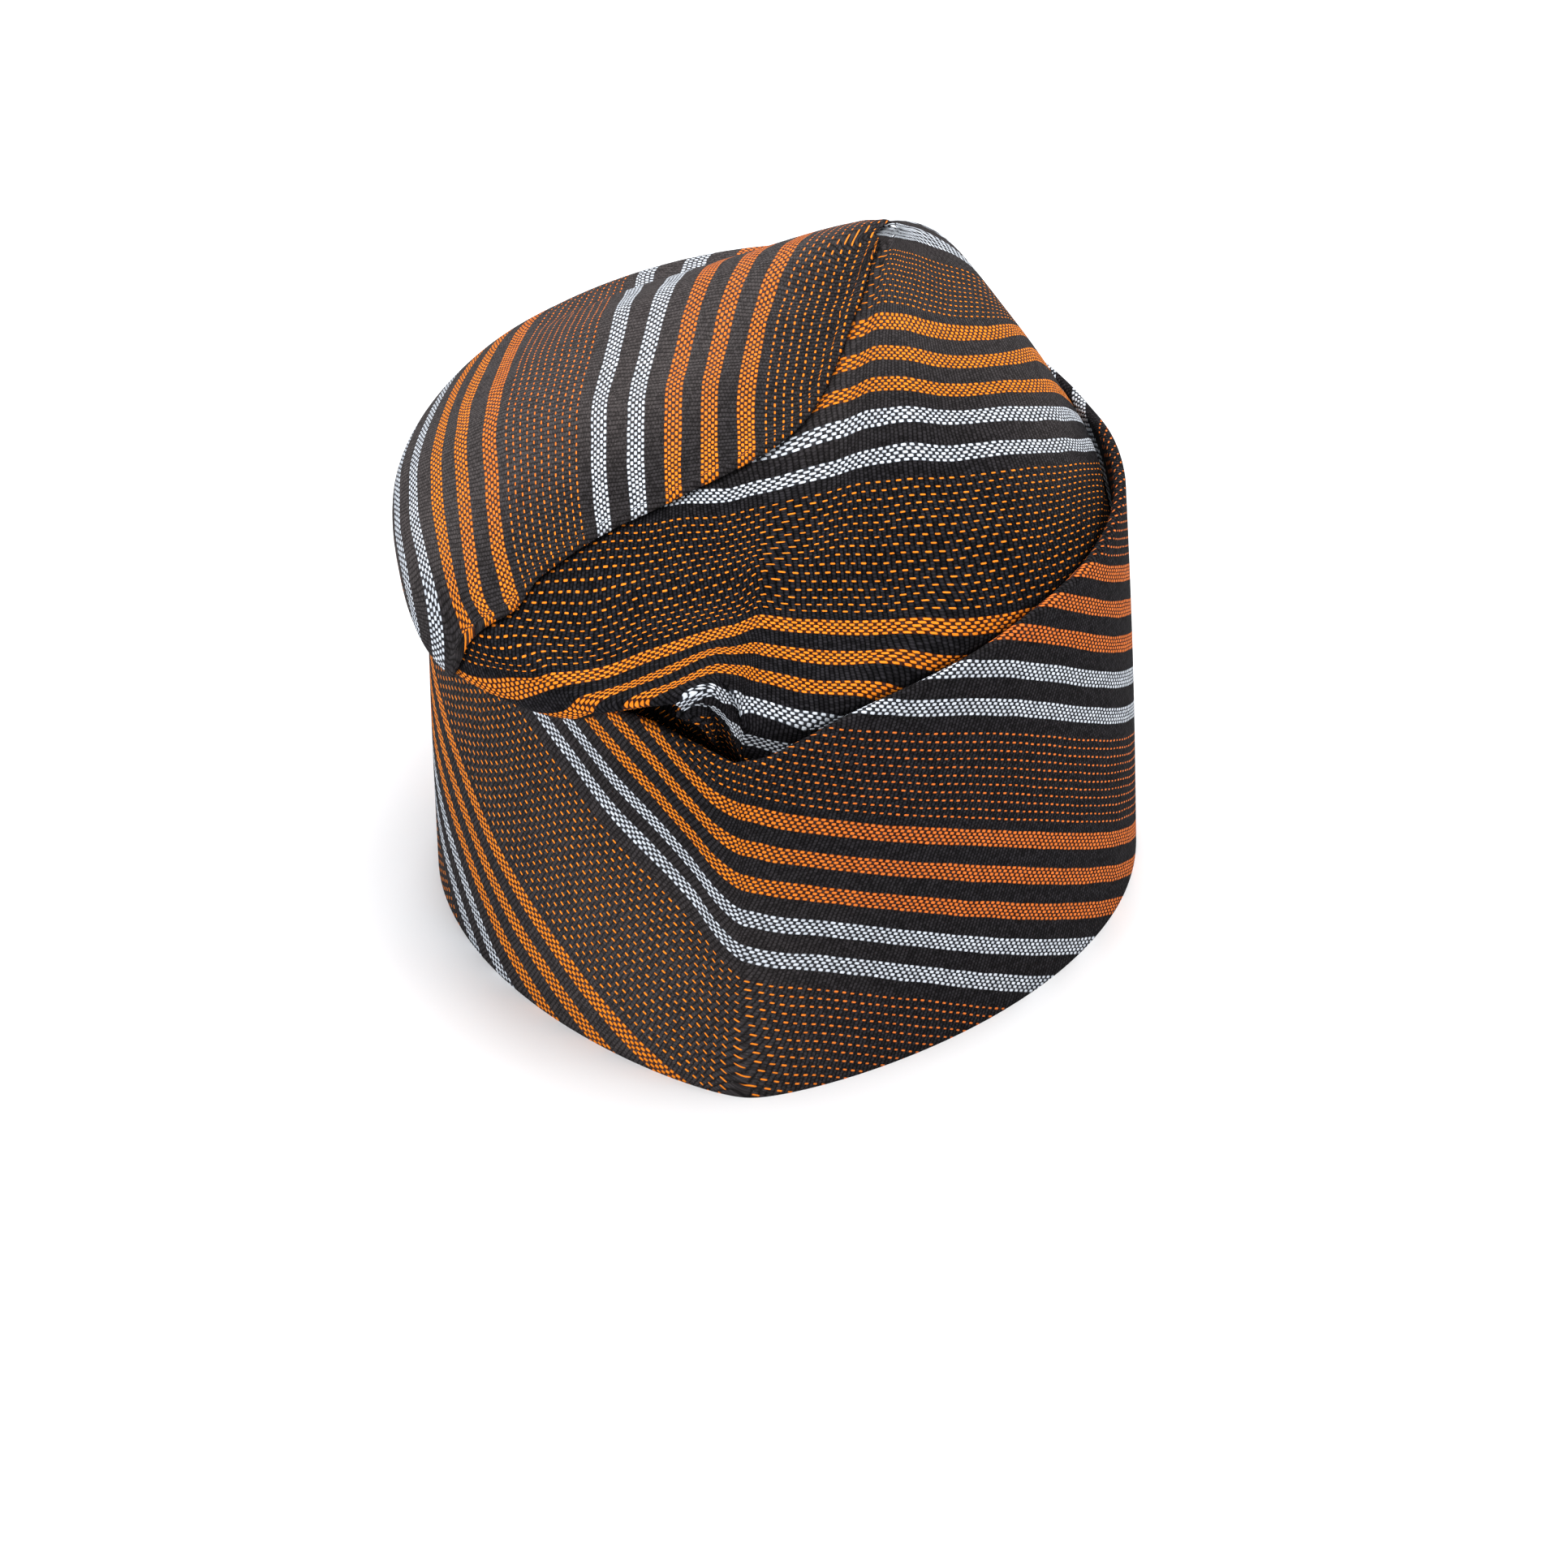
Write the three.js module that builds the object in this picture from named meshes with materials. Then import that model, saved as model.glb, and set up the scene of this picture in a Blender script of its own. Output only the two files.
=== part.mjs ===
// Soft woven cap: a turned-up band round a loose crown whose top is folded over to one side.
// Millimetres, +Z up, the front of the cap towards -Y. The cap stands on the rim of its band, with the
// origin on that plane under the middle of its outline.
//
// Angles go round the cap from the middle of the front (0) over the wearer's left side (90), which is +X,
// to the back (180). A height share of 0 is the rim for the band, and the band's side height for the crown.

import * as THREE from 'three';

// Driving dimensions in millimetres
const BAND_WIDTH = 175.8;
const BAND_LENGTH = 212;
const BAND_HEIGHT = 105.5;
const BAND_WALL = 3;
const BAND_LEAN = 3.4;
const CROWN_RISE = 43;
const CROWN_WALL = 1.2;
const PEAK_RIGHT = 27;
const PEAK_BACK = 48;
const HEM_DEPTH = 24;
const LIP_REACH = 6;
const LIP_DROP = 17;
const POCKET_DEPTH = 14;
const FLAP_WALL = 1.2;
const FLAP_SLACK = 0.4;
const FLAP_RIPPLE = 0.9;
const CLOTH_GAP = 0.3;

// How pointed the band's plan is at the front and at the back: 1 is an ellipse, as the crown's is
const FRONT_POINT = 1.515;
const BACK_POINT = 1.12;
const CROWN_POINT = 1;

// The plan takes the back's shape where the cosine of the angle is under the first of these, and the
// front's where it is over the second
const POINT_BLEND = { from: -0.6, to: 0.4 };

// The lip: where its reach passes from inside the band to outside it, as shares of LIP_REACH and then in
// millimetres; how much further a raised lip lifts the cloth under it; and how the cloth under it turns
// back, in walls of the crown
const LIP_CROSSES = { from: -0.12, to: 0.25 };
const LIP_HANGS = { from: -3.5, to: 2 };
const LIP_LIFT = 0.5;
const LIP_TURN = { inward: 2.6, high: 1.5, low: 2.7, brow: 3.5 };
const POCKET_FOLLOWS = 0.4;

// The crown's plan: pointed as the band's is beyond the second share, and drawn to the peak within the pull
const CROWN_POINTED = { from: 0.70, to: 0.93 };
const PEAK_PULL = { within: 0.92, power: 1.25 };

// Over how many degrees the flap's cover of the crown eases in, and how far from its edge that starts
const COVER_EASE = 10;
const COVER_MARGIN = 3;

// Columns and rows of each cloth surface
const COLUMN_SPANS = [
  { from: -180, to: -66, steps: 22 },
  { from: -66, to: -30, steps: 8 },
  { from: -30, to: 24, steps: 14 },
  { from: 24, to: 176, steps: 21 },
  { from: 176, to: 180, steps: 1 },
];
const FLAP_FREE_COLUMNS = 8;

// Top edge of the band: a strip of nearly even height with a notch at the front
const BAND_TOP = [
  { angle: -180, height: 0.976 },
  { angle: -135, height: 0.967 },
  { angle: -90, height: 0.948 },
  { angle: -60, height: 0.919 },
  { angle: -40, height: 0.924 },
  { angle: -25, height: 0.929 },
  { angle: -18, height: 0.915 },
  { angle: -11, height: 0.896 },
  { angle: -3, height: 0.877 },
  { angle: 7, height: 0.877 },
  { angle: 20, height: 0.915 },
  { angle: 27, height: 0.943 },
  { angle: 34, height: 0.957 },
  { angle: 47, height: 0.972 },
  { angle: 62, height: 0.995 },
  { angle: 80, height: 1 },
  { angle: 105, height: 0.986 },
  { angle: 119, height: 0.962 },
  { angle: 150, height: 0.976 },
];

// Sections of the crown from the hem inside the band, over the lip and up to the peak.
// pocket: how far it draws in below the band's edge, a share of POCKET_DEPTH
// hem: how far below the band's edge that is, a share of HEM_DEPTH
// reach: how far the lip stands out from the band's face, a share of LIP_REACH
// drop: how far the lip hangs below the band's edge, a share of LIP_DROP
// brim, shoulder, side, top: heights above the band on the way to the peak, shares of CROWN_RISE
const SECTION_COLUMNS = ['angle', 'pocket', 'hem', 'reach', 'drop', 'brim', 'shoulder', 'side', 'top'];
const CROWN_SECTIONS = [
  [-180, 0.07, 0.92, 0.95, -0.10, 0.17, 0.41, 0.71, 0.91],
  [-150, 0.07, 0.92, 1.00, 0.00, 0.15, 0.36, 0.64, 0.88],
  [-120, 0.07, 0.92, 1.05, 0.06, 0.20, 0.43, 0.67, 0.87],
  [-90, 0.07, 1.00, 1.05, 0.12, 0.22, 0.44, 0.65, 0.86],
  [-65, 0.07, 1.08, 0.98, 0.59, 0.06, 0.28, 0.56, 0.81],
  [-48, 0.07, 1.08, 0.67, 0.41, -0.03, 0.18, 0.50, 0.77],
  [-35, 0.21, 1.08, 0.67, 0.06, -0.05, 0.13, 0.47, 0.74],
  [-22, 0.57, 1.08, 0.50, -0.47, 0.06, 0.13, 0.43, 0.74],
  [-10, 1.00, 1.25, 0.05, -1.00, 0.15, 0.15, 0.40, 0.77],
  [4, 0.71, 1.42, -0.62, 0.53, -0.06, 0.07, 0.41, 0.81],
  [18, 0.21, 1.08, -0.12, 0.71, -0.14, 0.07, 0.55, 0.90],
  [40, 0.07, 1.00, -0.12, 0.71, -0.05, 0.27, 0.77, 0.98],
  [65, 0.07, 1.00, -0.12, 0.71, -0.01, 0.43, 0.83, 1.01],
  [90, 0.07, 1.00, -0.12, 0.71, -0.03, 0.38, 0.84, 1.01],
  [120, 0.07, 1.00, -0.12, 0.59, 0.00, 0.35, 0.80, 1.01],
  [143, 0.14, 1.00, -0.12, -0.10, 0.14, 0.48, 0.85, 0.99],
  [158, 0.43, 0.92, 0.08, -0.85, 0.26, 0.49, 0.82, 0.97],
].map((row) => Object.fromEntries(SECTION_COLUMNS.map((name, i) => [name, row[i]])));

// How far from the peak those four heights stand, as shares of the band's plan
const RING = { brim: 0.88, shoulder: 0.70, side: 0.45, top: 0.20 };

// Stations along a section, counted from the rim to the peak
const STATION_NAMES = [
  'rim', 'hem', 'neck', 'throat', 'turn', 'over', 'eave', 'under', 'fold', 'lip', 'brow',
  'brim', 'shoulder', 'side', 'top', 'peak',
];
const STATION = Object.fromEntries(STATION_NAMES.map((name, i) => [name, i]));
const CROWN_ROWS = [
  0, 2, 3, 4, 5, 6, 7, 7.5, 8, 8.5, 9, 9.5, 10, 10.5, 11, 11.5, 12, 12.5, 13, 13.5, 14, 14.5, 14.8,
];

// The flap's free edge, from its hem inside the band, round the lip and up to the peak. Its other edge is
// the back seam, its last columns from FLAP_LAST_FIXED on stand on the crown's own, and its angles run on
// below -180 as far as FLAP_WRAPS.
const FLAP_EDGE = [
  { station: 2, angle: -61 },
  { station: 7.5, angle: -61 },
  { station: 9, angle: -57.8 },
  { station: 9.5, angle: -55.4 },
  { station: 10.2, angle: -52.6 },
  { station: 11.3, angle: -52 },
  { station: 11.8, angle: -48.4 },
  { station: 12.2, angle: -44.5 },
  { station: 12.6, angle: -35.5 },
  { station: 12.9, angle: -26.4 },
  { station: 13.2, angle: -16.6 },
  { station: 13.5, angle: -8 },
  { station: 13.8, angle: -5.5 },
  { station: 14.2, angle: -5.5 },
  { station: 14.5, angle: -9.5 },
  { station: 14.8, angle: -30 },
];
const FLAP_BACK_SEAM = -184;
const FLAP_LAST_FIXED = -66;
const FLAP_WRAPS = -260;

// Thickness of the flap on its first columns, a share of FLAP_WALL: the edge is rolled
const FLAP_ROLL = [0.7, 1.5, 1.25];

const DEGREE = Math.PI / 180;
const HALF_WIDTH = BAND_WIDTH / 2;
const HALF_LENGTH = BAND_LENGTH / 2;
const PEAK_HEIGHT = BAND_HEIGHT + CROWN_RISE;
const LAP = FLAP_WALL + FLAP_SLACK + 2 * CLOTH_GAP;

function smoothStep(value, from, to) {
  const share = Math.min(1, Math.max(0, (value - from) / (to - from)));
  return share * share * (3 - 2 * share);
}

// A column of a table as a smooth function of one of its other columns, without overshoot between rows
function tableCurve(rows, at, column, period = 0) {
  const keys = rows.map((row) => row[at]);
  const values = rows.map((row) => row[column]);
  const count = rows.length;
  if (period) {
    keys.unshift(keys[count - 1] - period);
    values.unshift(values[count - 1]);
    keys.push(keys[1] + period, keys[2] + period);
    values.push(values[1], values[2]);
  }
  const slope = (i) => {
    if (i <= 0 || i >= keys.length - 1) return 0;
    const before = (values[i] - values[i - 1]) / (keys[i] - keys[i - 1]);
    const after = (values[i + 1] - values[i]) / (keys[i + 1] - keys[i]);
    return before * after > 0 ? (2 * before * after) / (before + after) : 0;
  };
  const slopes = keys.map((_, i) => slope(i));
  return (value) => {
    let key = value;
    if (period) {
      while (key < keys[1]) key += period;
      while (key >= keys[1] + period) key -= period;
    }
    key = Math.min(keys[keys.length - 1], Math.max(keys[0], key));
    let i = 0;
    while (i < keys.length - 2 && key >= keys[i + 1]) i += 1;
    const step = keys[i + 1] - keys[i];
    const w = (key - keys[i]) / step;
    const w2 = w * w;
    const w3 = w2 * w;
    return (
      (2 * w3 - 3 * w2 + 1) * values[i] +
      (w3 - 2 * w2 + w) * step * slopes[i] +
      (3 * w2 - 2 * w3) * values[i + 1] +
      (w3 - w2) * step * slopes[i + 1]
    );
  };
}

const bandTopShare = tableCurve(BAND_TOP, 'angle', 'height', 360);
const bandTop = (angle) => BAND_HEIGHT * bandTopShare(angle);
const crownColumn = {};
for (const name of ['pocket', 'hem', 'reach', 'drop', 'brim', 'shoulder', 'side', 'top']) {
  crownColumn[name] = tableCurve(CROWN_SECTIONS, 'angle', name, 360);
}
const flapEdgeAngle = tableCurve(FLAP_EDGE, 'station', 'angle');

// The band's plan at the rim, drawn towards a soft point at the front; pointed runs from 0, an ellipse, to 1
function plan(angle, pointed = 1) {
  const sine = Math.sin(angle * DEGREE);
  const cosine = Math.cos(angle * DEGREE);
  const towardsFront = smoothStep(cosine, POINT_BLEND.from, POINT_BLEND.to);
  const bandPower = BACK_POINT + (FRONT_POINT - BACK_POINT) * towardsFront;
  const power = CROWN_POINT + (bandPower - CROWN_POINT) * pointed;
  return new THREE.Vector2(HALF_WIDTH * Math.sign(sine) * Math.abs(sine) ** power, -HALF_LENGTH * cosine);
}

// The outward normal of the plan
function planNormal(angle) {
  const step = 0.05;
  const tangent = plan(angle + step).sub(plan(angle - step));
  return new THREE.Vector2(tangent.y, -tangent.x).normalize();
}

// How far the plan stands from the middle, square to its own edge
function planReach(angle) {
  return plan(angle).dot(planNormal(angle));
}

// The share of the rim's plan that the leaning band has at a height
function leanShare(height) {
  return 1 - (BAND_LEAN / HALF_WIDTH) * (height / BAND_HEIGHT);
}

// A point of the band's face at a height, moved out of it by offset
function bandPoint(angle, height, offset) {
  const base = plan(angle).multiplyScalar(leanShare(height)).addScaledVector(planNormal(angle), offset);
  return new THREE.Vector3(base.x, base.y, height);
}

// How far the flap covers the crown at an angle: 1 under it and 0 where the crown shows
function flapCover(angle) {
  const [seam, free] = [FLAP_BACK_SEAM, FLAP_EDGE[0].angle + COVER_MARGIN];
  const turned = ((((angle - FLAP_WRAPS) % 360) + 360) % 360) + FLAP_WRAPS;
  return smoothStep(turned, seam - COVER_EASE, seam) * (1 - smoothStep(turned, free, free + COVER_EASE));
}

// The stations of one section: each a share of the plan and a height
function sectionStations(angle) {
  const reach = planReach(angle);
  const edge = bandTop(angle);
  const cover = flapCover(angle) * LAP;
  const inset = BAND_WALL + CLOTH_GAP + cover;
  const pocket = POCKET_DEPTH * crownColumn.pocket(angle);
  const neck = edge - HEM_DEPTH * crownColumn.hem(angle);
  const lipReach = crownColumn.reach(angle);
  const crossed = smoothStep(lipReach, LIP_CROSSES.from, LIP_CROSSES.to);
  const out = LIP_REACH * lipReach - inset * (1 - crossed);
  const lip = edge - LIP_DROP * crownColumn.drop(angle);
  const ring = (name) => [RING[name], BAND_HEIGHT + CROWN_RISE * crownColumn[name](angle)];
  const brimHeight = ring('brim')[1];
  const hangs = smoothStep(out, LIP_HANGS.from, LIP_HANGS.to);
  const at = (height, offset) => [leanShare(height) + offset / reach, height];
  const foot = at(neck, -inset - pocket);
  const lipPoint = [leanShare(lip) + out / reach, lip];

  // Where a lip hangs, the cloth wraps the band's top edge; elsewhere it climbs evenly to the lip
  const wrap = BAND_WALL / 2 + 2 * CLOTH_GAP + cover;
  const lift = LIP_LIFT * Math.max(0, lip - edge);
  const round = (turn, share) => {
    const height = edge - BAND_WALL / 2 + wrap * Math.sin(turn * DEGREE) + (1 - share) * lift;
    return at(height, -BAND_WALL / 2 - wrap * Math.cos(turn * DEGREE) - POCKET_FOLLOWS * share * pocket);
  };
  const underOffset = Math.min(wrap - BAND_WALL / 2, out - LIP_TURN.inward * CROWN_WALL);
  const wrapped = [
    round(0, 1),
    round(50, 0.5),
    round(90, 0),
    round(140, 0),
    at(lip - LIP_TURN.high * CROWN_WALL, underOffset),
    at(lip - LIP_TURN.low * CROWN_WALL, (underOffset + out) / 2),
  ];
  const climb = wrapped.map((point, i) => {
    const share = (i + 1) / (wrapped.length + 1);
    return [0, 1].map((k) => {
      const plain = foot[k] + (lipPoint[k] - foot[k]) * share;
      return plain + (point[k] - plain) * hangs;
    });
  });
  const midHeight = (lip + brimHeight) / 2;
  const highBrow = Math.max(edge + cover + LIP_TURN.brow * CROWN_WALL, midHeight + CROWN_WALL);
  const plainBrow = [(lipPoint[0] + RING.brim) / 2, midHeight + CLOTH_GAP];
  const hungBrow = [leanShare(lip) + (out - CROWN_WALL) / reach, highBrow];
  const brow = [0, 1].map((k) => plainBrow[k] + (hungBrow[k] - plainBrow[k]) * hangs);
  return [
    at(0, -inset),
    at(neck / 2, -inset),
    foot,
    ...climb,
    lipPoint,
    brow,
    ring('brim'),
    ring('shoulder'),
    ring('side'),
    ring('top'),
    [0, PEAK_HEIGHT],
  ];
}

// A share of the plan and a height as a place: the plan draws towards the peak as its share falls
function crownPlace(angle, share, height) {
  const pointed = smoothStep(share, CROWN_POINTED.from, CROWN_POINTED.to);
  const pull = Math.max(0, 1 - share / PEAK_PULL.within) ** PEAK_PULL.power;
  const base = plan(angle, pointed).multiplyScalar(share);
  return new THREE.Vector3(base.x + pull * PEAK_RIGHT, base.y + pull * PEAK_BACK, height);
}

const stationCache = new Map();
function stationsAt(angle) {
  const key = angle.toFixed(6);
  if (!stationCache.has(key)) stationCache.set(key, sectionStations(angle));
  return stationCache.get(key);
}

// The crown's outer face at an angle and a station, through the section's stations on a smooth curve
// that runs on over the peak into the opposite section
function crownPoint(angle, station) {
  const stations = stationsAt(angle);
  const last = stations.length - 1;
  const i = Math.min(last - 1, Math.floor(station));
  const w = station - i;
  const opposite = stationsAt(angle + 180)[last - 1];
  const pick = (n, k) => {
    if (n < 0) return 2 * stations[0][k] - stations[1][k];
    if (n > last) return k === 0 ? -opposite[0] : opposite[1];
    return stations[n][k];
  };
  const curve = (k) => {
    const [a, b, c, d] = [pick(i - 1, k), pick(i, k), pick(i + 1, k), pick(i + 2, k)];
    const [bend, twist] = [2 * a - 5 * b + 4 * c - d, 3 * b - a - 3 * c + d];
    return 0.5 * (2 * b + (c - a) * w + bend * w * w + twist * w ** 3);
  };
  return crownPlace(angle, Math.max(0, curve(0)), curve(1));
}

// The outward normal of the crown's face
function crownNormal(angle, station) {
  const turn = 0.5;
  const climb = 0.02;
  const low = Math.max(0, station - climb);
  const high = Math.min(STATION.peak - 0.05, station + climb);
  const along = crownPoint(angle, high).sub(crownPoint(angle, low));
  const around = crownPoint(angle + turn, station).sub(crownPoint(angle - turn, station));
  return around.cross(along).normalize();
}

// The crown's face moved out by offset
function crownOffset(angle, station, offset) {
  return crownPoint(angle, station).addScaledVector(crownNormal(angle, station), offset);
}

// A closed body from its vertices and triangles
function body(points, faces) {
  const geometry = new THREE.BufferGeometry();
  const flat = points.flatMap((p) => [p.x, p.y, p.z]);
  geometry.setAttribute('position', new THREE.Float32BufferAttribute(flat, 3));
  geometry.setIndex(faces);
  geometry.computeVertexNormals();
  return geometry;
}

// Two triangles for a patch with the corners a, b, c and d in order
function patch(faces, a, b, c, d) {
  faces.push(a, b, c, a, c, d);
}

function columnAngles() {
  const angles = [];
  for (const span of COLUMN_SPANS) {
    for (let i = 0; i < span.steps; i += 1) {
      angles.push(span.from + ((span.to - span.from) * i) / span.steps);
    }
  }
  return angles;
}
const ANGLES = columnAngles();

// The band: a doubled strip round the head with a rounded top edge and a flat rim
function bandGeometry() {
  const radius = BAND_WALL / 2;
  const edge = [0, 45, 90, 135, 180].map((turn) => [Math.sin(turn * DEGREE), Math.cos(turn * DEGREE)]);
  const profile = (top) => [
    [0, 0],
    [0.35 * top, 0],
    [0.7 * top, 0],
    ...edge.map(([rise, out]) => [top - radius + radius * rise, radius * (out - 1)]),
    [0.5 * top, -BAND_WALL],
    [0, -BAND_WALL],
  ];
  const points = [];
  const faces = [];
  for (const angle of ANGLES) {
    for (const [height, offset] of profile(bandTop(angle))) points.push(bandPoint(angle, height, offset));
  }
  const rows = profile(BAND_HEIGHT).length;
  ANGLES.forEach((_, column) => {
    const here = column * rows;
    const next = ((column + 1) % ANGLES.length) * rows;
    for (let row = 0; row < rows; row += 1) {
      const above = (row + 1) % rows;
      patch(faces, here + row, next + row, next + above, here + above);
    }
  });
  return body(points, faces);
}

// The crown: one wall of cloth from its hem inside the band up to the peak, open below
function crownGeometry() {
  const points = [];
  const faces = [];
  const rows = CROWN_ROWS.length;
  const columns = ANGLES.length;
  const inward = (angle, station) => {
    const point = crownOffset(angle, station, -CROWN_WALL);
    if (station === STATION.rim) point.z = 0;
    return point;
  };
  for (const surface of [(a, s) => crownPoint(a, s), inward]) {
    for (const station of CROWN_ROWS) {
      for (const angle of ANGLES) points.push(surface(angle, station));
    }
  }
  const peak = new THREE.Vector3(PEAK_RIGHT, PEAK_BACK, PEAK_HEIGHT);
  points.push(peak, peak.clone().setZ(PEAK_HEIGHT - CROWN_WALL));
  const inside = rows * columns;
  const top = 2 * rows * columns;
  for (let i = 0; i < columns; i += 1) {
    const j = (i + 1) % columns;
    for (let row = 0; row < rows - 1; row += 1) {
      const a = row * columns;
      const b = a + columns;
      patch(faces, a + i, a + j, b + j, b + i);
      patch(faces, inside + a + j, inside + a + i, inside + b + i, inside + b + j);
    }
    const last = (rows - 1) * columns;
    faces.push(last + i, last + j, top);
    faces.push(inside + last + j, inside + last + i, top + 1);
    patch(faces, inside + i, inside + j, j, i);
  }
  return body(points, faces);
}

// The angles of the flap's columns on one row: some spread from its free edge, the rest stand on the crown's
function flapAngles(station) {
  const free = flapEdgeAngle(station);
  const spread = (i) => free + ((FLAP_LAST_FIXED - free) * i) / FLAP_FREE_COLUMNS;
  const angles = Array.from({ length: FLAP_FREE_COLUMNS }, (_, i) => spread(i));
  const fixed = ANGLES.map((a) => (a >= FLAP_WRAPS + 360 ? a - 360 : a))
    .filter((a) => a <= FLAP_LAST_FIXED && a > FLAP_BACK_SEAM)
    .sort((a, b) => b - a);
  return [...angles, ...fixed, FLAP_BACK_SEAM];
}

// Soft waves across the flap, none at its hem and its edges
function flapWave(station, column, columns) {
  const fades = 1 - smoothStep(station, STATION.top, STATION.peak);
  const along = smoothStep(station, STATION.brow, STATION.brim) * fades;
  const across = Math.sin((Math.PI * column) / (columns - 1));
  return FLAP_RIPPLE * along * across * (0.5 + 0.5 * Math.cos(2 * Math.PI * station));
}

// The flap: the top of the crown folded over to the wearer's right, one wall lying on the crown
function flapGeometry() {
  const rows = CROWN_ROWS.filter((station) => station >= STATION.neck);
  const columns = flapAngles(STATION.neck).length;
  const points = [];
  const faces = [];
  for (const side of [0, 1]) {
    for (const station of rows) {
      flapAngles(station).forEach((angle, column) => {
        const roll = FLAP_ROLL[column] ?? 1;
        const slack = station > STATION.lip ? FLAP_SLACK : FLAP_SLACK / 2;
        const under = CLOTH_GAP + slack + flapWave(station, column, columns);
        const wall = FLAP_WALL * (station > STATION.lip ? roll : 1);
        points.push(crownOffset(angle, station, under + side * wall));
      });
    }
  }
  const outer = rows.length * columns;
  for (let row = 0; row < rows.length - 1; row += 1) {
    for (let i = 0; i < columns - 1; i += 1) {
      const a = row * columns + i;
      const b = a + columns;
      patch(faces, outer + a + 1, outer + a, outer + b, outer + b + 1);
      patch(faces, a + 1, b + 1, b, a);
    }
    const start = row * columns;
    const end = start + columns - 1;
    patch(faces, start, start + columns, outer + start + columns, outer + start);
    patch(faces, end + columns, end, outer + end, outer + end + columns);
  }
  const last = (rows.length - 1) * columns;
  for (let i = 0; i < columns - 1; i += 1) {
    patch(faces, i + 1, i, outer + i, outer + i + 1);
    patch(faces, last + i, last + i + 1, outer + last + i + 1, outer + last + i);
  }
  return body(points, faces);
}

const DARK_WEAVE = 0x3a2a20;
const ORANGE_WEAVE = 0x8a4a1c;
const GREY_WEAVE = 0x5a5048;

function part(name, geometry, colour) {
  const material = new THREE.MeshStandardMaterial({ color: colour, roughness: 0.9, metalness: 0 });
  const mesh = new THREE.Mesh(geometry, material);
  mesh.name = name;
  return mesh;
}

const cap = new THREE.Group();
cap.add(part('band', bandGeometry(), DARK_WEAVE));
cap.add(part('crown', crownGeometry(), ORANGE_WEAVE));
cap.add(part('crown_flap', flapGeometry(), GREY_WEAVE));

// The origin goes under the middle of the outline
const bounds = new THREE.Box3().setFromObject(cap);
const middle = bounds.getCenter(new THREE.Vector3());
cap.position.set(-middle.x, -middle.y, -bounds.min.z);

export default cap;
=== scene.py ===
"""The look of a soft woven cap: its turned-up band, its loose crown and the crown's top folded to one side.

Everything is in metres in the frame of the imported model, but the forms are worked out in millimetres first.
Angles go round the cap in degrees from the middle of the front (0) over +X (90) to the back (180).
"""

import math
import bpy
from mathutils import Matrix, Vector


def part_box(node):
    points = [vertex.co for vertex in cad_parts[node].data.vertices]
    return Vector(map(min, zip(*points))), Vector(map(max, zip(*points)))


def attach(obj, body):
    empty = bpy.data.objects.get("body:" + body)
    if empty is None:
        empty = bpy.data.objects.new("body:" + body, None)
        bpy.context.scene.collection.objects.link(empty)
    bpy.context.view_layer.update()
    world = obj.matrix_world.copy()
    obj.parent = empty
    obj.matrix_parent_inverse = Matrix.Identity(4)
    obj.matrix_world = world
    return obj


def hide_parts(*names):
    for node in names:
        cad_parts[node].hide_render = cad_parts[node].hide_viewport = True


bl_info = {
    "name": "Woven Cap",
    "version": (1, 0, 0),
    "blender": (4, 5, 0),
    "location": "3D View > Sidebar > Cap",
    "description": "Builds the cloth of a striped woven cap over its packed model",
    "category": "Add Mesh",
}

import bpy
import numpy as np
from mathutils import Matrix, Vector

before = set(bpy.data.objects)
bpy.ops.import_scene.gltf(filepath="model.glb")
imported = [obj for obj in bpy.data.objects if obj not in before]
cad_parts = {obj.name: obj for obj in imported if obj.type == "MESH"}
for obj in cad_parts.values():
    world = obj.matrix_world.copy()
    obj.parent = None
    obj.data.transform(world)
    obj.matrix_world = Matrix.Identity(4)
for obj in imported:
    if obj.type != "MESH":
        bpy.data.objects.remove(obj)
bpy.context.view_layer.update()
BAND_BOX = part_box("band")

# Driving sizes in millimetres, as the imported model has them
BAND_WIDTH = 175.8
BAND_LENGTH = 212
BAND_HEIGHT = 105.5
BAND_WALL = 3
BAND_LEAN = 3.4
CROWN_RISE = 43
CROWN_WALL = 1.2
PEAK = (27, 48)
HEM_DEPTH = 24
LIP_REACH = 6
LIP_DROP = 17
LIP_LIFT = 0.5
POCKET_DEPTH = 14
HOLLOW_DEPTH = 10
HOLLOW_STARTS = (-37, -28)
HOLLOW_ENDS = (-21, -16.5)
HOLLOW_FOOT = (2.2, 4.5)
HOLLOW_TOP = (7.8, 9.1)
FLAP_WALL = 1.2
FLAP_SLACK = 0.4
CLOTH_GAP = 0.3
FRONT_POINT = 1.515
BACK_POINT = 1.12
RIM_BLUNT = 0.2
HALF_WIDTH = BAND_WIDTH / 2
HALF_LENGTH = BAND_LENGTH / 2
LAP = FLAP_WALL + FLAP_SLACK + 2 * CLOTH_GAP
MM = 0.001
TINY = 1e-9
LEAST_SQUARE = 1e-12

# The model's origin is under the middle of its outline, so the forms move by this much
SHIFT = (BAND_BOX[0][0] / MM + HALF_WIDTH, BAND_BOX[0][1] / MM + HALF_LENGTH)

BAND_TOP = {
    "angle": (-180, -135, -90, -60, -40, -25, -18, -11, -3, 7, 20, 27, 34, 47, 62, 80, 105, 119, 150),
    "height": (0.976, 0.967, 0.948, 0.919, 0.924, 0.929, 0.915, 0.896, 0.877, 0.877, 0.915, 0.943, 0.957,
               0.972, 0.995, 1, 0.986, 0.962, 0.976),
}

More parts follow.
